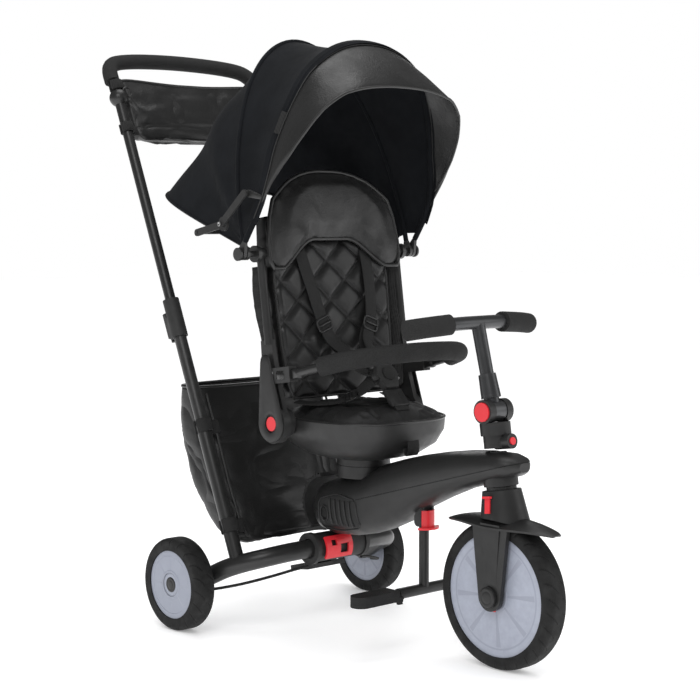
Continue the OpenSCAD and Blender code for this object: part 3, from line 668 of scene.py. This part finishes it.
def cloth_between(name, a, b, rows, bulge, material, body, thick, cut=0, crease=None):
    """One curved sheet from arch a to arch b. bulge(t, u) is how far it stands out, in millimetres."""
    a, b = a[cut:len(a) - cut], b[cut:len(b) - cut]
    grid = []
    for j in range(rows + 1):
        t = j / rows
        row = []
        for i, (p, q) in enumerate(zip(a, b)):
            u = i / (len(a) - 1)
            place = p.lerp(q, t)
            out = (place - CANOPY_MIDDLE).normalized()
            lift = bulge(t, u)
            if crease:
                lift += crease(place, t, u)
            row.append(at(*(place + out * lift)))
        grid.append(row)
    piece = loft(name, grid, material, None, closed=False)
    add_modifier(piece, "SOLIDIFY", thickness=thick * MM, offset=0)
    add_modifier(piece, "SUBSURF", levels=1, render_levels=1)
    bpy.context.view_layer.update()
    area = sum(f.area for f in piece.data.polygons)
    bake_modifiers(piece)
    if body:
        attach(piece, body)
    return piece, area


def ends_fade(u, reach=0.12):
    return smoothstep(min(u, 1 - u) / reach)


def rear_crease(place, t, u):
    near_hub = 1 - ends_fade(u, 0.3)
    return 0.8 * noise.noise(place / 70) + near_hub * 3.0 * noise.noise(Vector((place.x / 60, t * 9, u * 30)))


def rear_bulge(t):
    """The cloth stands out over a sewn rib two thirds of the way up, and pulls in on both sides of it."""
    return 15 * math.exp(-((t - 0.62) / 0.17) ** 2) - 7 * math.sin(math.pi * t) ** 2


rear, rear_area = cloth_between(
    "canopy_rear", REAR_ARCH, MID_ARCH, 18,
    lambda t, u: rear_bulge(t) * ends_fade(u, 0.2),
    CANOPY, None, 1.4, cut=1, crease=rear_crease)
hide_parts("canopy_rear_panel")
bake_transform(rear)
front, front_area = cloth_between(
    "canopy_front", MID_ARCH, FRONT_ARCH, 12,
    lambda t, u: -9 * math.sin(math.pi * t) * ends_fade(u, 0.2),
    CANOPY, None, 1.4, cut=1, crease=lambda p, t, u: 0.8 * noise.noise(p / 60))
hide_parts("canopy_front_panel")
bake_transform(front)
visor, visor_area = cloth_between(
    "canopy_visor_cloth", FRONT_ARCH, VISOR_ARCH, 14,
    lambda t, u: (7 * math.sin(math.pi * t) ** 0.8 + 2.5 * math.sin(math.pi * t) * math.sin(9 * math.pi * u)
                  * (1 - ends_fade(u, 0.3))) * ends_fade(u, 0.1),
    LEATHER_SOFT, "front_hoop", 1.6, cut=2, crease=lambda p, t, u: 1.2 * noise.noise(p / 45) * math.sin(math.pi * t))
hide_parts("canopy_visor")


def placed(points, lift=0.0):
    return [at(*(p + (p - CANOPY_MIDDLE).normalized() * lift)) for p in points]


tube("rear_bow_tube", placed(REAR_ARCH), 2.9 * MM, CANOPY, "backrest", sides=12)
tube("canopy_rear_hem", placed(REAR_ARCH, 2.2), 1.5 * MM, PIPING, "backrest", sides=8)
tube("mid_bow_sleeve", placed(MID_ARCH), 4.4 * MM, CANOPY, "middle_hoop", sides=12)
tube("front_bow_sleeve", placed(FRONT_ARCH), 4.8 * MM, CANOPY, "front_hoop", sides=12)
tube("visor_piping", placed(VISOR_ARCH[1:-1]), 2.4 * MM, PIPING, "front_hoop", sides=10)


def seam_band(name, arch_a, arch_b, t, width, lift, material, body):
    """Narrow stitched strip laid on the canopy, at share t of the way from one arch to the other."""
    path, out = [], []
    for p, q in list(zip(arch_a, arch_b))[3:-3]:
        place = p.lerp(q, t)
        direction = (place - CANOPY_MIDDLE).normalized()
        path.append(at(*(place + direction * lift)))
        out.append(direction)
    return band(name, path, out, width * MM, 1.2 * MM, material, body)


seam_band("front_bow_facing", FRONT_ARCH, MID_ARCH, 0.0, 19, 3.4, CANOPY, "front_hoop")
seam_band("front_bow_stitch", FRONT_ARCH, VISOR_ARCH, 0.09, 1.6, 5.0, THREAD, "front_hoop")


# ---- headrest ----


HEAD_WIDTH = [(252, 138), (266, 147), (300, 149), (345, 142), (380, 130), (405, 116), (418, 98), (424, 74)]


def head_outline(u):
    """Lower and upper edge of the headrest at share u of its half width."""
    return 258 + 50 * (1 - smoothstep((abs(u) - 0.25) / 0.62)), 425 - 52 * abs(u) ** 4


def head_point(u, v, side):
    low, high = head_outline(u)
    z = mix(low, high, v)
    x = u * between(HEAD_WIDTH, z)[0]
    swell = (max(0.0, 1 - abs(u) ** 5) ** 0.5) * (max(0.0, math.sin(math.pi * min(max(v, 0), 1))) ** 0.42)
    rim = -6 - 14 * u * u
    return on_back(x, rim - 15 * swell if side < 0 else rim + 13 * swell, z)


def head_rings(count_u=44, count_v=26):
    outline = [(mix(-1, 1, i / count_u), 0.0) for i in range(count_u)]
    outline += [(1.0, j / count_v) for j in range(count_v)]
    outline += [(mix(1, -1, i / count_u), 1.0) for i in range(count_u)]
    outline += [(-1.0, 1 - j / count_v) for j in range(count_v)]
    return outline


def add_headrest():
    outline = head_rings()
    rings = []
    for side, shares in ((-1, [0.0, 0.15, 0.35, 0.55, 0.72, 0.85, 0.93, 0.98, 1.0]), (1, [0.97, 0.88, 0.7, 0.4, 0.0])):
        for share in shares:
            rings.append([head_point(mix(0, u, share), mix(0.5, v, share), side) for u, v in outline])
    pad = loft("headrest_pad", rings, LEATHER_SOFT, None)
    edge = [head_point(u, v, -1) for u, v in outline]

    def hold(p):
        nearest = min((q / MM - p).length for q in edge[::3])
        return smoothstep((nearest - 4) / 22)

    puff(pad, 7, hold)
    centre = on_back(0, 0, 300) / MM

    def folds(p):
        away = p - centre
        spread = math.atan2(away.x, away.z + 45)
        fan = math.sin(spread * 11 + 1.1 * noise.noise(p / 50))
        low = smoothstep((centre.z + 92 - p.z) / 80)
        return hold(p) * (1.5 * fan * low * low + wrinkle(p, 60, 0.8, 3))

    displace(pad, folds)
    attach(pad, "backrest")
    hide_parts("headrest")
    tube("headrest_piping", edge, 3.4 * MM, PIPING, "backrest", sides=10, loop=True)


add_headrest()


# ---- quilted backrest ----

QUILT_X = 76.0
QUILT_Z = 68.0
PAD_LOW, PAD_HIGH = 40, 350


def seam_share(value):
    """0 on a sewn line, 1 midway between two of them."""
    part = value - math.floor(value)
    return 2 * min(part, 1 - part)


def pad_half(z):
    return between([(38, 108), (60, 118), (130, 125), (240, 129), (352, 120)], z)[0]


def quilt_depth(x, z):
    """How far the pad's face stands forward of its backing at (x, z)."""
    a, b = seam_share(x / QUILT_X + z / QUILT_Z), seam_share(x / QUILT_X - z / QUILT_Z)
    half = pad_half(z)
    border = min(1.0, max(0.0, (half - abs(x)) / 7), (z - PAD_LOW + 1) / 7)
    pillow = (1 - (1 - a) ** 5) * (1 - (1 - b) ** 5)
    return border ** 0.6 * (8.0 * pillow + 0.35 * noise.noise(Vector((x, z, 0)) / 30) * pillow)


def pad_face(x, z):
    return 8 - 9 * (abs(x) / 126) ** 2.2 + 14 * smoothstep((z - 290) / 40)


def add_backrest():
    rows, cols = 150, 112
    grid = []
    for j in range(rows + 1):
        z = mix(PAD_LOW, PAD_HIGH, j / rows)
        half = pad_half(z)
        grid.append([
            on_back(x, pad_face(x, z) - quilt_depth(x, z), z)
            for x in (mix(-half, half, i / cols) for i in range(cols + 1))
        ])
    face = [p for row in grid for p in row]
    n = cols + 1
    back = []
    for j in range(rows + 1):
        z = mix(PAD_LOW, PAD_HIGH, j / rows)
        half = pad_half(z)
        back += [on_back(x, 46 - 4 * (abs(x) / half) ** 4, z)
                 for x in (mix(-half, half, i / cols) for i in range(cols + 1))]
    total = len(face)
    faces = []
    for j in range(rows):
        for i in range(cols):
            k = j * n + i
            faces.append((k, k + 1, k + n + 1, k + n))
            faces.append((total + k + n, total + k + n + 1, total + k + 1, total + k))
    rim = [i for i in range(n)] + [j * n + cols for j in range(1, rows + 1)]
    rim += [rows * n + i for i in range(cols - 1, -1, -1)] + [j * n for j in range(rows - 1, 0, -1)]
    for a, b in zip(rim, rim[1:] + rim[:1]):
        faces.append((b, a, total + a, total + b))
    pad = add_mesh("backrest_quilt", face + back, faces, LEATHER, "backrest")
    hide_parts("backrest_pad")
    for side in (-1, 1):
        line = [on_back(side * (pad_half(z) + 1), pad_face(126, z) - 0.5, z) for z in range(40, 352, 6)]
        tube("backrest_piping_" + ("near" if side < 0 else "far"), line, 2.6 * MM, PIPING, "backrest", sides=10)
    low = [on_back(mix(-108, 108, i / 30), pad_face(mix(-108, 108, i / 30), 39), 39) for i in range(31)]
    tube("backrest_piping_low", low, 2.6 * MM, PIPING, "backrest", sides=10)


def add_stitches():
    """Two rows of short stitches beside every sewn line of the quilting."""
    points, faces = [], []
    pitch, length = 5.0, 3.2
    for family in (-1, 1):
        for line in range(-6, 12):
            for offset in (-1.5, 1.5):
                step = Vector((QUILT_X, -family * QUILT_Z)).normalized()
                across = Vector((step.y, -step.x))
                start = Vector((line * QUILT_X, 0)) + across * offset
                for k in range(-120, 120):
                    a = start + step * (k * pitch)
                    b = a + step * length
                    inside = all(
                        PAD_LOW + 4 < p.y < PAD_HIGH - 4 and abs(p.x) < pad_half(p.y) - 5 for p in (a, b))
                    if not inside:
                        continue
                    ends = []
                    for p in (a, (a + b) / 2, b):
                        y = pad_face(p.x, p.y) - quilt_depth(p.x, p.y) - (0.5 if p is not a and p is not b else 0.25)
                        ends.append((p, y))
                    base = len(points)
                    for p, y in ends:
                        for shift, rise in ((-0.42, 0.0), (0.0, -0.42), (0.42, 0.0)):
                            q = p + across * shift
                            points.append(on_back(q.x, y + rise, q.y))
                    for r in (0, 3):
                        for c in (0, 1):
                            k0 = base + r + c
                            faces.append((k0, k0 + 1, k0 + 4, k0 + 3))
    add_mesh("backrest_stitches", points, faces, THREAD, "backrest")


def add_wings():
    """Side panels of spacer mesh that wrap from the quilted pad back round the frame tubes."""
    rows = [(44, 119, 141), (60, 123, 145), (100, 127, 147), (150, 129, 153), (180, 130, 160), (225, 131, 162),
            (262, 128, 158)]
    for side in (-1, 1):
        rings = []
        for j in range(41):
            z = mix(44, 264, j / 40)
            inner, outer = between(rows, z)
            ring = []
            for k in range(28):
                a = 2 * math.pi * k / 28
                c, s = math.cos(a), math.sin(a)
                x = (inner + outer) / 2 + (outer - inner) / 2 * math.copysign(abs(c) ** 0.55, c)
                front = -9 + 20 * smoothstep((outer - x) / (outer - inner) * 1.3 - 0.3)
                y = mix(front, 24, 0.5 + 0.5 * math.copysign(abs(s) ** 0.5, s))
                ring.append(on_back(side * x, y, z))
            rings.append(ring if side > 0 else list(reversed(ring)))
        name = "near" if side < 0 else "far"
        wing = loft("side_wing_" + name, rings, NETTING, "backrest")
        displace(wing, lambda p: wrinkle(p, 42, 0.8, 5 + side))
        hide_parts("backrest_wings")
        edge = [on_back(side * (between(rows, z)[1] - 1), -6, z) for z in range(48, 262, 6)]
        tube("side_wing_piping_" + name, edge, 2.2 * MM, PIPING, "backrest", sides=8)


add_backrest()
add_stitches()
add_wings()


# ---- seat cushion ----


def cushion_outline(a, inset=0.0):
    c, s = math.cos(a), math.sin(a)
    return ((121 - inset) * math.copysign(abs(c) ** 0.72, c), -229 + (121 - inset) * math.copysign(abs(s) ** 0.72, s))


def add_cushion():
    count = 72
    rings = []
    for inset, z in ((60, 352), (20, 354), (4, 362), (0, 370), (1, 377), (8, 384), (26, 389), (54, 391), (86, 390),
                     (110, 389)):
        ring = []
        for k in range(count):
            a = 2 * math.pi * k / count
            x, y = cushion_outline(a, inset)
            dip = 4 * smoothstep((-y - 300) / 60) if z > 380 else 0
            ring.append(at(x, y, z - dip))
        rings.append(ring)
    seat = loft("seat_pad", rings, LEATHER_SOFT, None)

    def hold(p):
        return smoothstep((p.z - 370) / 12)

    puff(seat, 6, hold)

    def channels(p):
        x, y = p.x, (p.y * MM - AXLE_Y) / MM
        across = min(abs(abs(x) - 62), abs(y + 262) if abs(x) < 62 else 99, abs(y + 196) if abs(x) < 62 else 99)
        groove = -3.4 * math.exp(-(across / 3.2) ** 2)
        top = smoothstep((p.z - 378) / 10)
        return top * (groove + wrinkle(p, 40, 1.5, 9))

    displace(seat, channels)
    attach(seat, "seat")
    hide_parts("seat_cushion")
    edge = []
    for k in range(96):
        x, y = cushion_outline(2 * math.pi * k / 96, -1.5)
        edge.append(at(x, y, 374))
    tube("seat_piping", edge, 2.6 * MM, PIPING, "seat", sides=10, loop=True)


add_cushion()


# ---- harness ----

FORWARD = Vector((0, -1, 0.15))


def slider(name, centre, along, out, width, material, body):
    """Moulded strap adjuster: a rounded frame with a middle bar."""
    along, out = along.normalized(), Vector(out)
    out = (out - out.dot(along) * along).normalized()
    side = along.cross(out)
    half_w, half_l = width / 2 * MM, 11 * MM
    loop = []
    for k in range(40):
        a = 2 * math.pi * k / 40
        c, s = math.cos(a), math.sin(a)
        loop.append(centre + side * half_w * math.copysign(abs(c) ** 0.35, c)
                    + along * half_l * math.copysign(abs(s) ** 0.35, s) + out * 0.0015)
    tube(name + "_frame", loop, 1.9 * MM, material, body, sides=8, loop=True)
    bar = [centre + side * half_w * t + out * 0.0032 for t in (-0.95, -0.5, 0, 0.5, 0.95)]
    tube(name + "_bar", bar, 1.9 * MM, material, body, sides=8)


def add_harness():
    buckle = box_centre("buckle") / MM
    buckle.y -= AXLE_Y / MM
    tilt = Vector((0, -0.57, 0.82))
    joins = {-1: at(buckle.x - 22, buckle.y + 4, buckle.z + 1), 1: at(buckle.x + 22, buckle.y + 4, buckle.z + 1)}
    shoulder = {
        -1: [on_back(-66, 0, 290), on_back(-60, -5, 255), on_back(-50, -8, 215), on_back(-40, -9, 178),
             on_back(-25, -14, 135), at(-16, -212, 474), at(-20, -242, 453)],
        1: [on_back(82, -2, 290), on_back(82, -7, 250), on_back(80, -10, 205), on_back(74, -12, 165),
            on_back(56, -18, 125), at(34, -218, 468), at(25, -244, 452)],
    }
    for side, name in SIDES:
        path = spline(shoulder[side] + [joins[side]], 5)
        lean = [Vector((0, -1, 0.1)).lerp(tilt, smoothstep((i / len(path) - 0.55) / 0.4)) for i in range(len(path))]
        strap = band("shoulder_strap_" + name, path, lean, 25 * MM, 1.8 * MM, WEBBING, None)
        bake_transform(strap)
        spot = 17 if side < 0 else 16
        slider("shoulder_slider_" + name, path[spot], tangent(path, spot), FORWARD, 31, BLACK_GLOSS, "backrest")
        below = [path[spot] + Vector((0, 0.004, 0)), path[spot + 4] + Vector((side * -0.004, 0.006, -0.004)),
                 path[spot + 8] + Vector((side * 0.004, 0.008, -0.006))]
        band("strap_tail_" + name, spline(below, 5), FORWARD, 24 * MM, 1.6 * MM, WEBBING, "backrest")
        hip = [at(side * 104, -172, 401), at(side * 92, -196, 399), at(side * 70, -226, 402), at(side * 46, -252, 414),
               at(side * 30, -266, 431), joins[side] - Vector((0, 0, 0.002))]
        hip_path = spline(hip, 6)
        up = [Vector((0, -0.15, 1)).lerp(tilt, i / len(hip_path)) for i in range(len(hip_path))]
        band("hip_strap_" + name, hip_path, up, 25 * MM, 1.8 * MM, WEBBING, "seat")
        slider("hip_slider_" + name, hip_path[17], tangent(hip_path, 17), up[17], 30, BLACK_GLOSS, "seat")
    crotch = [at(0, -322, 391), at(0, -316, 398), at(0, -304, 410), at(0, -294, 422), at(0, -288, 431)]
    path = spline(crotch, 6)
    band("crotch_strap_web", path, Vector((0, -0.8, 0.5)), 30 * MM, 2.2 * MM, WEBBING, "seat")
    cover = band("crotch_cover", spline(crotch[1:4], 6), Vector((0, -0.8, 0.5)), 40 * MM, 7 * MM, LEATHER_SOFT, "seat")
    for side in (-1, 1):
        reach = ((0.004, 0.004, -0.001), (-0.001, 0.001, 0.001), (-0.005, -0.001, 0.002))
        prong = spline([joins[side] + Vector((side * x, y, z)) for x, y, z in reach], 4)
        name = "buckle_wing_" + ("near" if side < 0 else "far")
        band(name, prong, tilt, 27 * MM, 6 * MM, BLACK_SATIN, "seat")
    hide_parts("shoulder_straps")
    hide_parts("crotch_strap")


add_harness()


# ---- bags ----

BAG = [(146, -70, -30, 122), (150, -76, -8, 136), (165, -68, 22, 145), (190, -56, 48, 149), (250, -30, 97, 151),
       (320, -2, 121, 151), (375, 22, 122, 151), (411, 38, 110, 151)]


def bag_ring(z, inset, count=120):
    y0, y1, w = between(BAG, z)
    return [p for p in oval(w - inset, y0 + inset, y1 - inset, z, 3.6, count, at)]


def add_storage_bag():
    """Soft tub: an outer skin that sags and creases, a rolled rim, and an inner skin."""
    heights = [146 + 265 * (i / 44) ** 1.15 for i in range(45)]
    floor = [[p.lerp(at(0, -50, 148), t) for p in bag_ring(146, 0)] for t in (0.9, 0.6, 0.3)]
    outer = floor + [bag_ring(z, 0) for z in heights]
    inner = [bag_ring(z, 2.4) for z in reversed(heights[3:])]
    inner += [[p.lerp(at(0, -30, 170), t) for p in bag_ring(heights[3], 3)] for t in (0.3, 0.6, 0.9)]
    bag = loft("storage_bag_skin", outer + inner, LEATHER, None)
    rim_top = 411

    def sag(p):
        y = p.y - AXLE_Y / MM
        lower = smoothstep((rim_top - 12 - p.z) / 60)
        folds = math.sin(p.x / 21 + 2 * noise.noise(p / 60)) * smoothstep((p.z - 300) / 90)
        face = 1 if y < between(BAG, p.z)[0] + 12 or abs(p.x) > 120 or y > between(BAG, p.z)[1] - 12 else 0.4
        return lower * face * (wrinkle(p, 74, 4.2, 2) + wrinkle(p, 30, 1.2, 6) + 1.1 * folds - 1.5)

    displace(bag, sag)
    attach(bag, "frame")
    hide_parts("storage_bag")
    rim = bag_ring(rim_top, 0.6, 96)
    tube("storage_bag_rim", rim, 3.0 * MM, PIPING, "frame", sides=10, loop=True)
    for x in (-1, 1):
        seam = [at(x * between(BAG, z)[2] * 0.9, between(BAG, z)[0] + 2.5, z) for z in range(160, 408, 8)]
        tube("storage_bag_seam_" + ("near" if x < 0 else "far"), seam, 2.2 * MM, PIPING, "frame", sides=8)


def tube_strap(name, along_tube, side, width, material, body, radius=12.5, tail=26):
    """Hook-and-loop strap wrapped round a push tube, with its end lying along the bag."""
    ring = []
    for k in range(30):
        a = math.radians(mix(-170, 150, k / 29))
        reach = radius + 1.4
        ring.append(on_tube(side * TUBE_X + reach * math.cos(a) * -side, reach * math.sin(a), along_tube))
    ring += [on_tube(side * (TUBE_X - 16 - tail * t), 5 + 4 * t, along_tube - 1) for t in (0.2, 0.6, 1.0)]
    axis = (on_tube(0, 0, 1) - on_tube(0, 0, 0)).normalized()
    facing = [axis.cross(tangent(ring, i)) for i in range(len(ring))]
    band(name, ring, facing, width * MM, 1.8 * MM, material, body)


def add_bag_straps():
    for side, name in SIDES:
        tube_strap("bag_strap_high_" + name, 232, side, 24, WEBBING, "frame", 13.2)
        tube_strap("bag_strap_low_" + name, 52, side, 24, WEBBING, "frame", 13.2)
        tube_strap("pouch_strap_high_" + name, 884, side, 18, WEBBING, "push_handle", 10.5, 20)
        tube_strap("pouch_strap_low_" + name, 800, side, 18, WEBBING, "push_handle", 10.5, 20)
        ring = [on_tube(side * (TUBE_X - 12 + 9 * math.cos(a)), -13, 866 + 9 * math.sin(a))
                for a in (2 * math.pi * k / 28 for k in range(28))]
        tube("pouch_ring_" + name, ring, 1.8 * MM, BLACK_GLOSS, "push_handle", sides=8, loop=True)


POUCH = [(782, 2, 20, 130), (790, -2, 33, 144), (830, -5, 43, 149), (870, -4, 41, 149), (902, -2, 35, 149)]


def pouch_ring(s, inset, count=110):
    y0, y1, w = between(POUCH, s)
    ring = []
    for p in oval(w - inset, y0 + inset, y1 - inset, 0, 4.2, count, lambda x, y, z: (x, y)):
        dip = 10 * (1 - (p[0] / 150) ** 2) * smoothstep((s - 850) / 50)
        ring.append(on_tube(p[0], p[1], s - dip))
    return ring


def add_parent_bag():
    heights = [782 + 120 * (i / 26) ** 1.1 for i in range(27)]
    outer = [[p.lerp(on_tube(0, 12, 783), t) for p in pouch_ring(782, 0)] for t in (0.9, 0.5)]
    outer += [pouch_ring(s, 0) for s in heights]
    inner = [pouch_ring(s, 2.2) for s in reversed(heights[2:])]
    inner += [[p.lerp(on_tube(0, 14, 790), t) for p in pouch_ring(heights[2], 3)] for t in (0.5, 0.9)]
    bag = loft("parent_bag_skin", outer + inner, LEATHER, None)
    axis = on_tube(0, 0, 1) - on_tube(0, 0, 0)
    base = on_tube(0, 0, 0) / MM

    def sag(p):
        s = (p - base).dot(axis) / axis.length
        x = p.x
        hem = smoothstep((892 - s) / 26)
        divider = -3.2 * math.exp(-((abs(x) - 48) / 3.5) ** 2)
        band_line = -2.4 * math.exp(-((s - 806) / 2.6) ** 2)
        swell = 3.0 * abs(math.sin(math.pi * (x + 48) / 96)) ** 0.6
        return hem * (wrinkle(p, 46, 2.6, 7) + divider + swell - 1.5) + band_line

    displace(bag, sag)
    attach(bag, "push_handle")
    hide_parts("parent_bag")
    tube("parent_bag_hem", pouch_ring(900, 0.6, 90), 2.6 * MM, PIPING, "push_handle", sides=8, loop=True)


add_storage_bag()
add_parent_bag()
add_bag_straps()


# ---- wheels ----


def wheel_face(name, hub, offset, rim, hub_r, sectors, material, body):
    """Moulded cover of one side of a wheel: a flat rim band, then shallow radial facets down to the hub."""
    radii = [rim, rim * 0.985, rim * 0.86, rim * 0.85, rim * 0.84, rim * 0.6, hub_r + 5, hub_r + 3, hub_r]
    count = sectors * 16
    rings = []
    side = 1 if offset > 0 else -1
    for r in radii:
        ring = []
        for k in range(count):
            a = 2 * math.pi * k / count
            part = (k % 16) / 16
            facet = 0.5 * part if rim * 0.845 > r > hub_r + 4 else 0
            step = 0.2 if r > rim * 0.98 else 0.9 if r > rim * 0.855 else 0.35 if r > hub_r + 4 else 1.6
            ring.append(hub + Vector((offset + side * (step + facet) * MM, r * MM * math.cos(a), r * MM * math.sin(a))))
        rings.append(ring if side > 0 else list(reversed(ring)))
    piece = loft(name, rings, material, None, caps=False)
    add_modifier(piece, "EDGE_SPLIT", split_angle=math.radians(14))
    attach(piece, body)
    return piece


def dome(name, centre, radius, height, material, body):
    """Shallow turned cap whose axis is X; height is signed."""
    profile = [(1.0, 0.0), (1.0, 0.35), (0.97, 0.62), (0.9, 0.82), (0.72, 0.9), (0.68, 0.8), (0.6, 0.8),
               (0.55, 0.92), (0.3, 1.0), (0.08, 1.0)]
    rings = []
    for r, h in profile:
        ring = [centre + Vector((height * h * MM, radius * r * MM * math.cos(a), radius * r * MM * math.sin(a)))
                for a in (2 * math.pi * k / 48 for k in range(48))]
        rings.append(ring if height > 0 else list(reversed(ring)))
    return loft(name, rings, material, body)


def add_wheels():
    for node, body, name, rim in (("near_disc", "rear_wheel_near", "near", 58.5),
                                  ("far_disc", "rear_wheel_far", "far", 58.5),
                                  ("front_disc", "front_wheel", "front", 97)):
        low, high = (Vector(c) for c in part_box(node))
        hub = (low + high) / 2
        outer = -1 if name == "near" else 1
        for side in (-1, 1):
            tyre_half = 16.3 * MM if name != "front" else 17.5 * MM
            wheel_face("wheel_face_%s_%s" % (name, "in" if side != outer else "out"), hub, side * tyre_half, rim,
                       20.5, 8, DISC, body)
        if name == "front":
            continue
        tip = high.x if outer > 0 else low.x
        dome("hub_cap_" + name, Vector((tip - outer * 0.0006, hub.y, hub.z)), 13, outer * 2.2, BLACK_SATIN, body)
        centre = Vector((tip - outer * 0.0002, hub.y, hub.z))
        ring = [centre + Vector((0, 19 * MM * math.cos(a), 19 * MM * math.sin(a)))
                for a in (2 * math.pi * k / 48 for k in range(48))]
        tube("hub_ring_" + name, ring, 0.9 * MM, DISC, body, sides=8, loop=True)
    for side in (-1, 1):
        centre = Vector((side * 36 * MM, FRONT_HUB.y, FRONT_HUB.z))
        dome("fork_cap_" + ("near" if side < 0 else "far"), centre, 16, side * 2.6, BLACK_SATIN, "steering")


# ---- moulded body ----


def body_side(side, y, z):
    """Point on the body's side at (y, z), and the way it faces, found on the CAD node."""
    start = at(side * 90, y, z)
    for name in ("body_lower", "body_upper"):
        hit, place, normal, _ = NODES[name].ray_cast(start, Vector((-side, 0, 0)))
        if hit:
            return place, normal
    return at(side * 47, y, z), Vector((side, 0, 0))


def on_side(side, y, z, lift):
    place, normal = body_side(side, y, z)
    return place + Vector((side, 0, normal.z * 0.5)).normalized() * lift * MM


def add_vents():
    for side, name in SIDES:
        frame_loop = []
        corners = [(-160, 228), (-160, 180), (-205, 176), (-262, 188), (-256, 236), (-205, 242)]
        ring = [Vector((y, z, 0)) for y, z in corners]
        for i in range(len(ring)):
            a, b = ring[i], ring[(i + 1) % len(ring)]
            frame_loop += [a.lerp(b, t) for t in (0.15, 0.3, 0.5, 0.7, 0.85)]
        loop = [on_side(side, p.x, p.y, 0.3) for p in frame_loop]
        tube("vent_frame_" + name, loop, 1.7 * MM, BLACK_SATIN, "frame", sides=8, loop=True)
        panel = []
        for j in range(13):
            t = j / 12
            row = []
            for i in range(23):
                u = i / 22
                row.append(on_side(side, mix(-163, -258, u), mix(mix(182, 190, u), mix(228, 234, u), t), 0.6))
            panel.append(row)
        loft("vent_panel_" + name, panel, BLACK_MATT, "frame", closed=False)
        for k in range(5):
            y = -196 - 12.5 * k
            rib = [on_side(side, y + 5 * t, mix(189, 231, t), 1.7) for t in (0, 0.25, 0.5, 0.75, 1)]
            tube("vent_rib_%s_%d" % (name, k), spline(rib, 3), 2.0 * MM, BLACK_SATIN, "frame", sides=8)
        hole, normal = body_side(side, -177, 205)
        ring = [on_side(side, -177 + 10 * math.cos(a), 205 + 13 * math.sin(a), 1.2)
                for a in (2 * math.pi * k / 32 for k in range(32))]
        tube("vent_hole_" + name, ring, 1.6 * MM, BLACK_SATIN, "frame", sides=8, loop=True)
        inner = [[on_side(side, -177 + r * 10 * math.cos(a), 205 + r * 13 * math.sin(a), 0.9)
                  for a in (2 * math.pi * k / 32 for k in range(32))] for r in (0.9, 0.5, 0.1)]
        loft("vent_recess_" + name, inner, RUBBER, "frame")


def screw(name, centre, out, radius, body):
    """Recessed screw head."""
    out = Vector(out).normalized()
    side = out.orthogonal().normalized()
    up = out.cross(side)
    rings = []
    for r, h in ((1.0, 0.0), (0.96, 0.5), (0.8, 0.7), (0.5, 0.6), (0.42, -0.4), (0.1, -0.4)):
        rings.append([centre + (side * math.cos(a) + up * math.sin(a)) * radius * r * MM + out * h * MM
                      for a in (2 * math.pi * k / 24 for k in range(24))])
    loft(name, rings, STEEL, body)


def add_hardware():
    for side, name in SIDES:
        if side > 0:
            screw("knuckle_pin", on_steer(26.2, 0, 292), (1, 0, 0), 4, "steering")
        screw("slide_screw_high_" + name, on_back(side * 163.1, -14, 84), (side, 0, 0), 2.6, "backrest")
        screw("slide_screw_low_" + name, on_back(side * 163.1, -14, 72), (side, 0, 0), 2.6, "backrest")
        screw("stay_screw_" + name, at(side * 219.2, -109, 700), (side, 0, 0), 4, "stay_low_link")
        band("release_tab_" + name,
             spline([on_back(side * 162.4, -44, 79), on_back(side * 164, -36, 79), on_back(side * 163, -26, 79)], 4),
             Vector((side, 0, 0)), 14 * MM, 2.4 * MM, BLACK_GLOSS, "backrest")


smooth_nodes("body_upper", "body_lower", "fork", "seat_shell", "rear_frame", "handle_foam", "bar_foam",
             "upper_tubes", "safety_bar", "handlebar_tube", "handlebar_grips", "steering_column", "stem_hinge",
             "brake_cables", "back_arms", "rear_grip", "tube_collars", "buckle", "front_bow", "mid_bow", "rear_bow")
add_wheels()
add_vents()
add_hardware()


# ---- arm covers, tag and hanging loop ----


def add_arm_covers():
    """Tapered cover over each recline hub, open round its red button."""
    low_r, high_r, reach, count = 31.0, 12.0, 104.0, 72
    limit = (low_r - high_r) / reach
    for side, name in SIDES:
        rings = []
        for share, lift in ((0.0, 0.6), (0.0, 3.4), (0.08, 4.0), (0.88, 4.0), (0.96, 3.4), (1.0, 2.2), (1.0, 0.6)):
            ring = []
            for k in range(count):
                a = 2 * math.pi * k / count
                c, s = math.cos(a), math.sin(a)
                outer = (high_r * c, reach + high_r * s) if s > limit else (low_r * c, low_r * s)
                y, z = mix(14.5 * c, outer[0], share), mix(14.5 * s, outer[1], share)
                ring.append(on_back(side * (162 + lift), y, z))
            rings.append(ring if side > 0 else list(reversed(ring)))
        loft("arm_cover_" + name, rings, BLACK_SATIN, "backrest", caps=False)


def add_tag():
    part = FRONT_ARCH[15:19]
    path = [at(*(p + (p - CANOPY_MIDDLE).normalized() * 6.5)) for p in part]
    path = spline(path, 5)
    outward = [(p - at(*CANOPY_MIDDLE)).normalized() for p in path]
    band("canopy_tag", path, outward, 11 * MM, 1.4 * MM, WEBBING, "front_hoop")


def add_hanging_loop():
    loop = [at(0, -338, 352), at(0, -345, 342), at(0, -347, 328), at(0, -343, 318), at(0, -338, 321), at(0, -337, 334),
            at(0, -334, 346)]
    path = spline(loop, 5)
    outward = [Vector((1, 0, 0)).cross(tangent(path, i)) for i in range(len(path))]
    band("seat_loop", path, outward, 26 * MM, 1.8 * MM, WEBBING, "seat")


add_arm_covers()
add_tag()
add_hanging_loop()
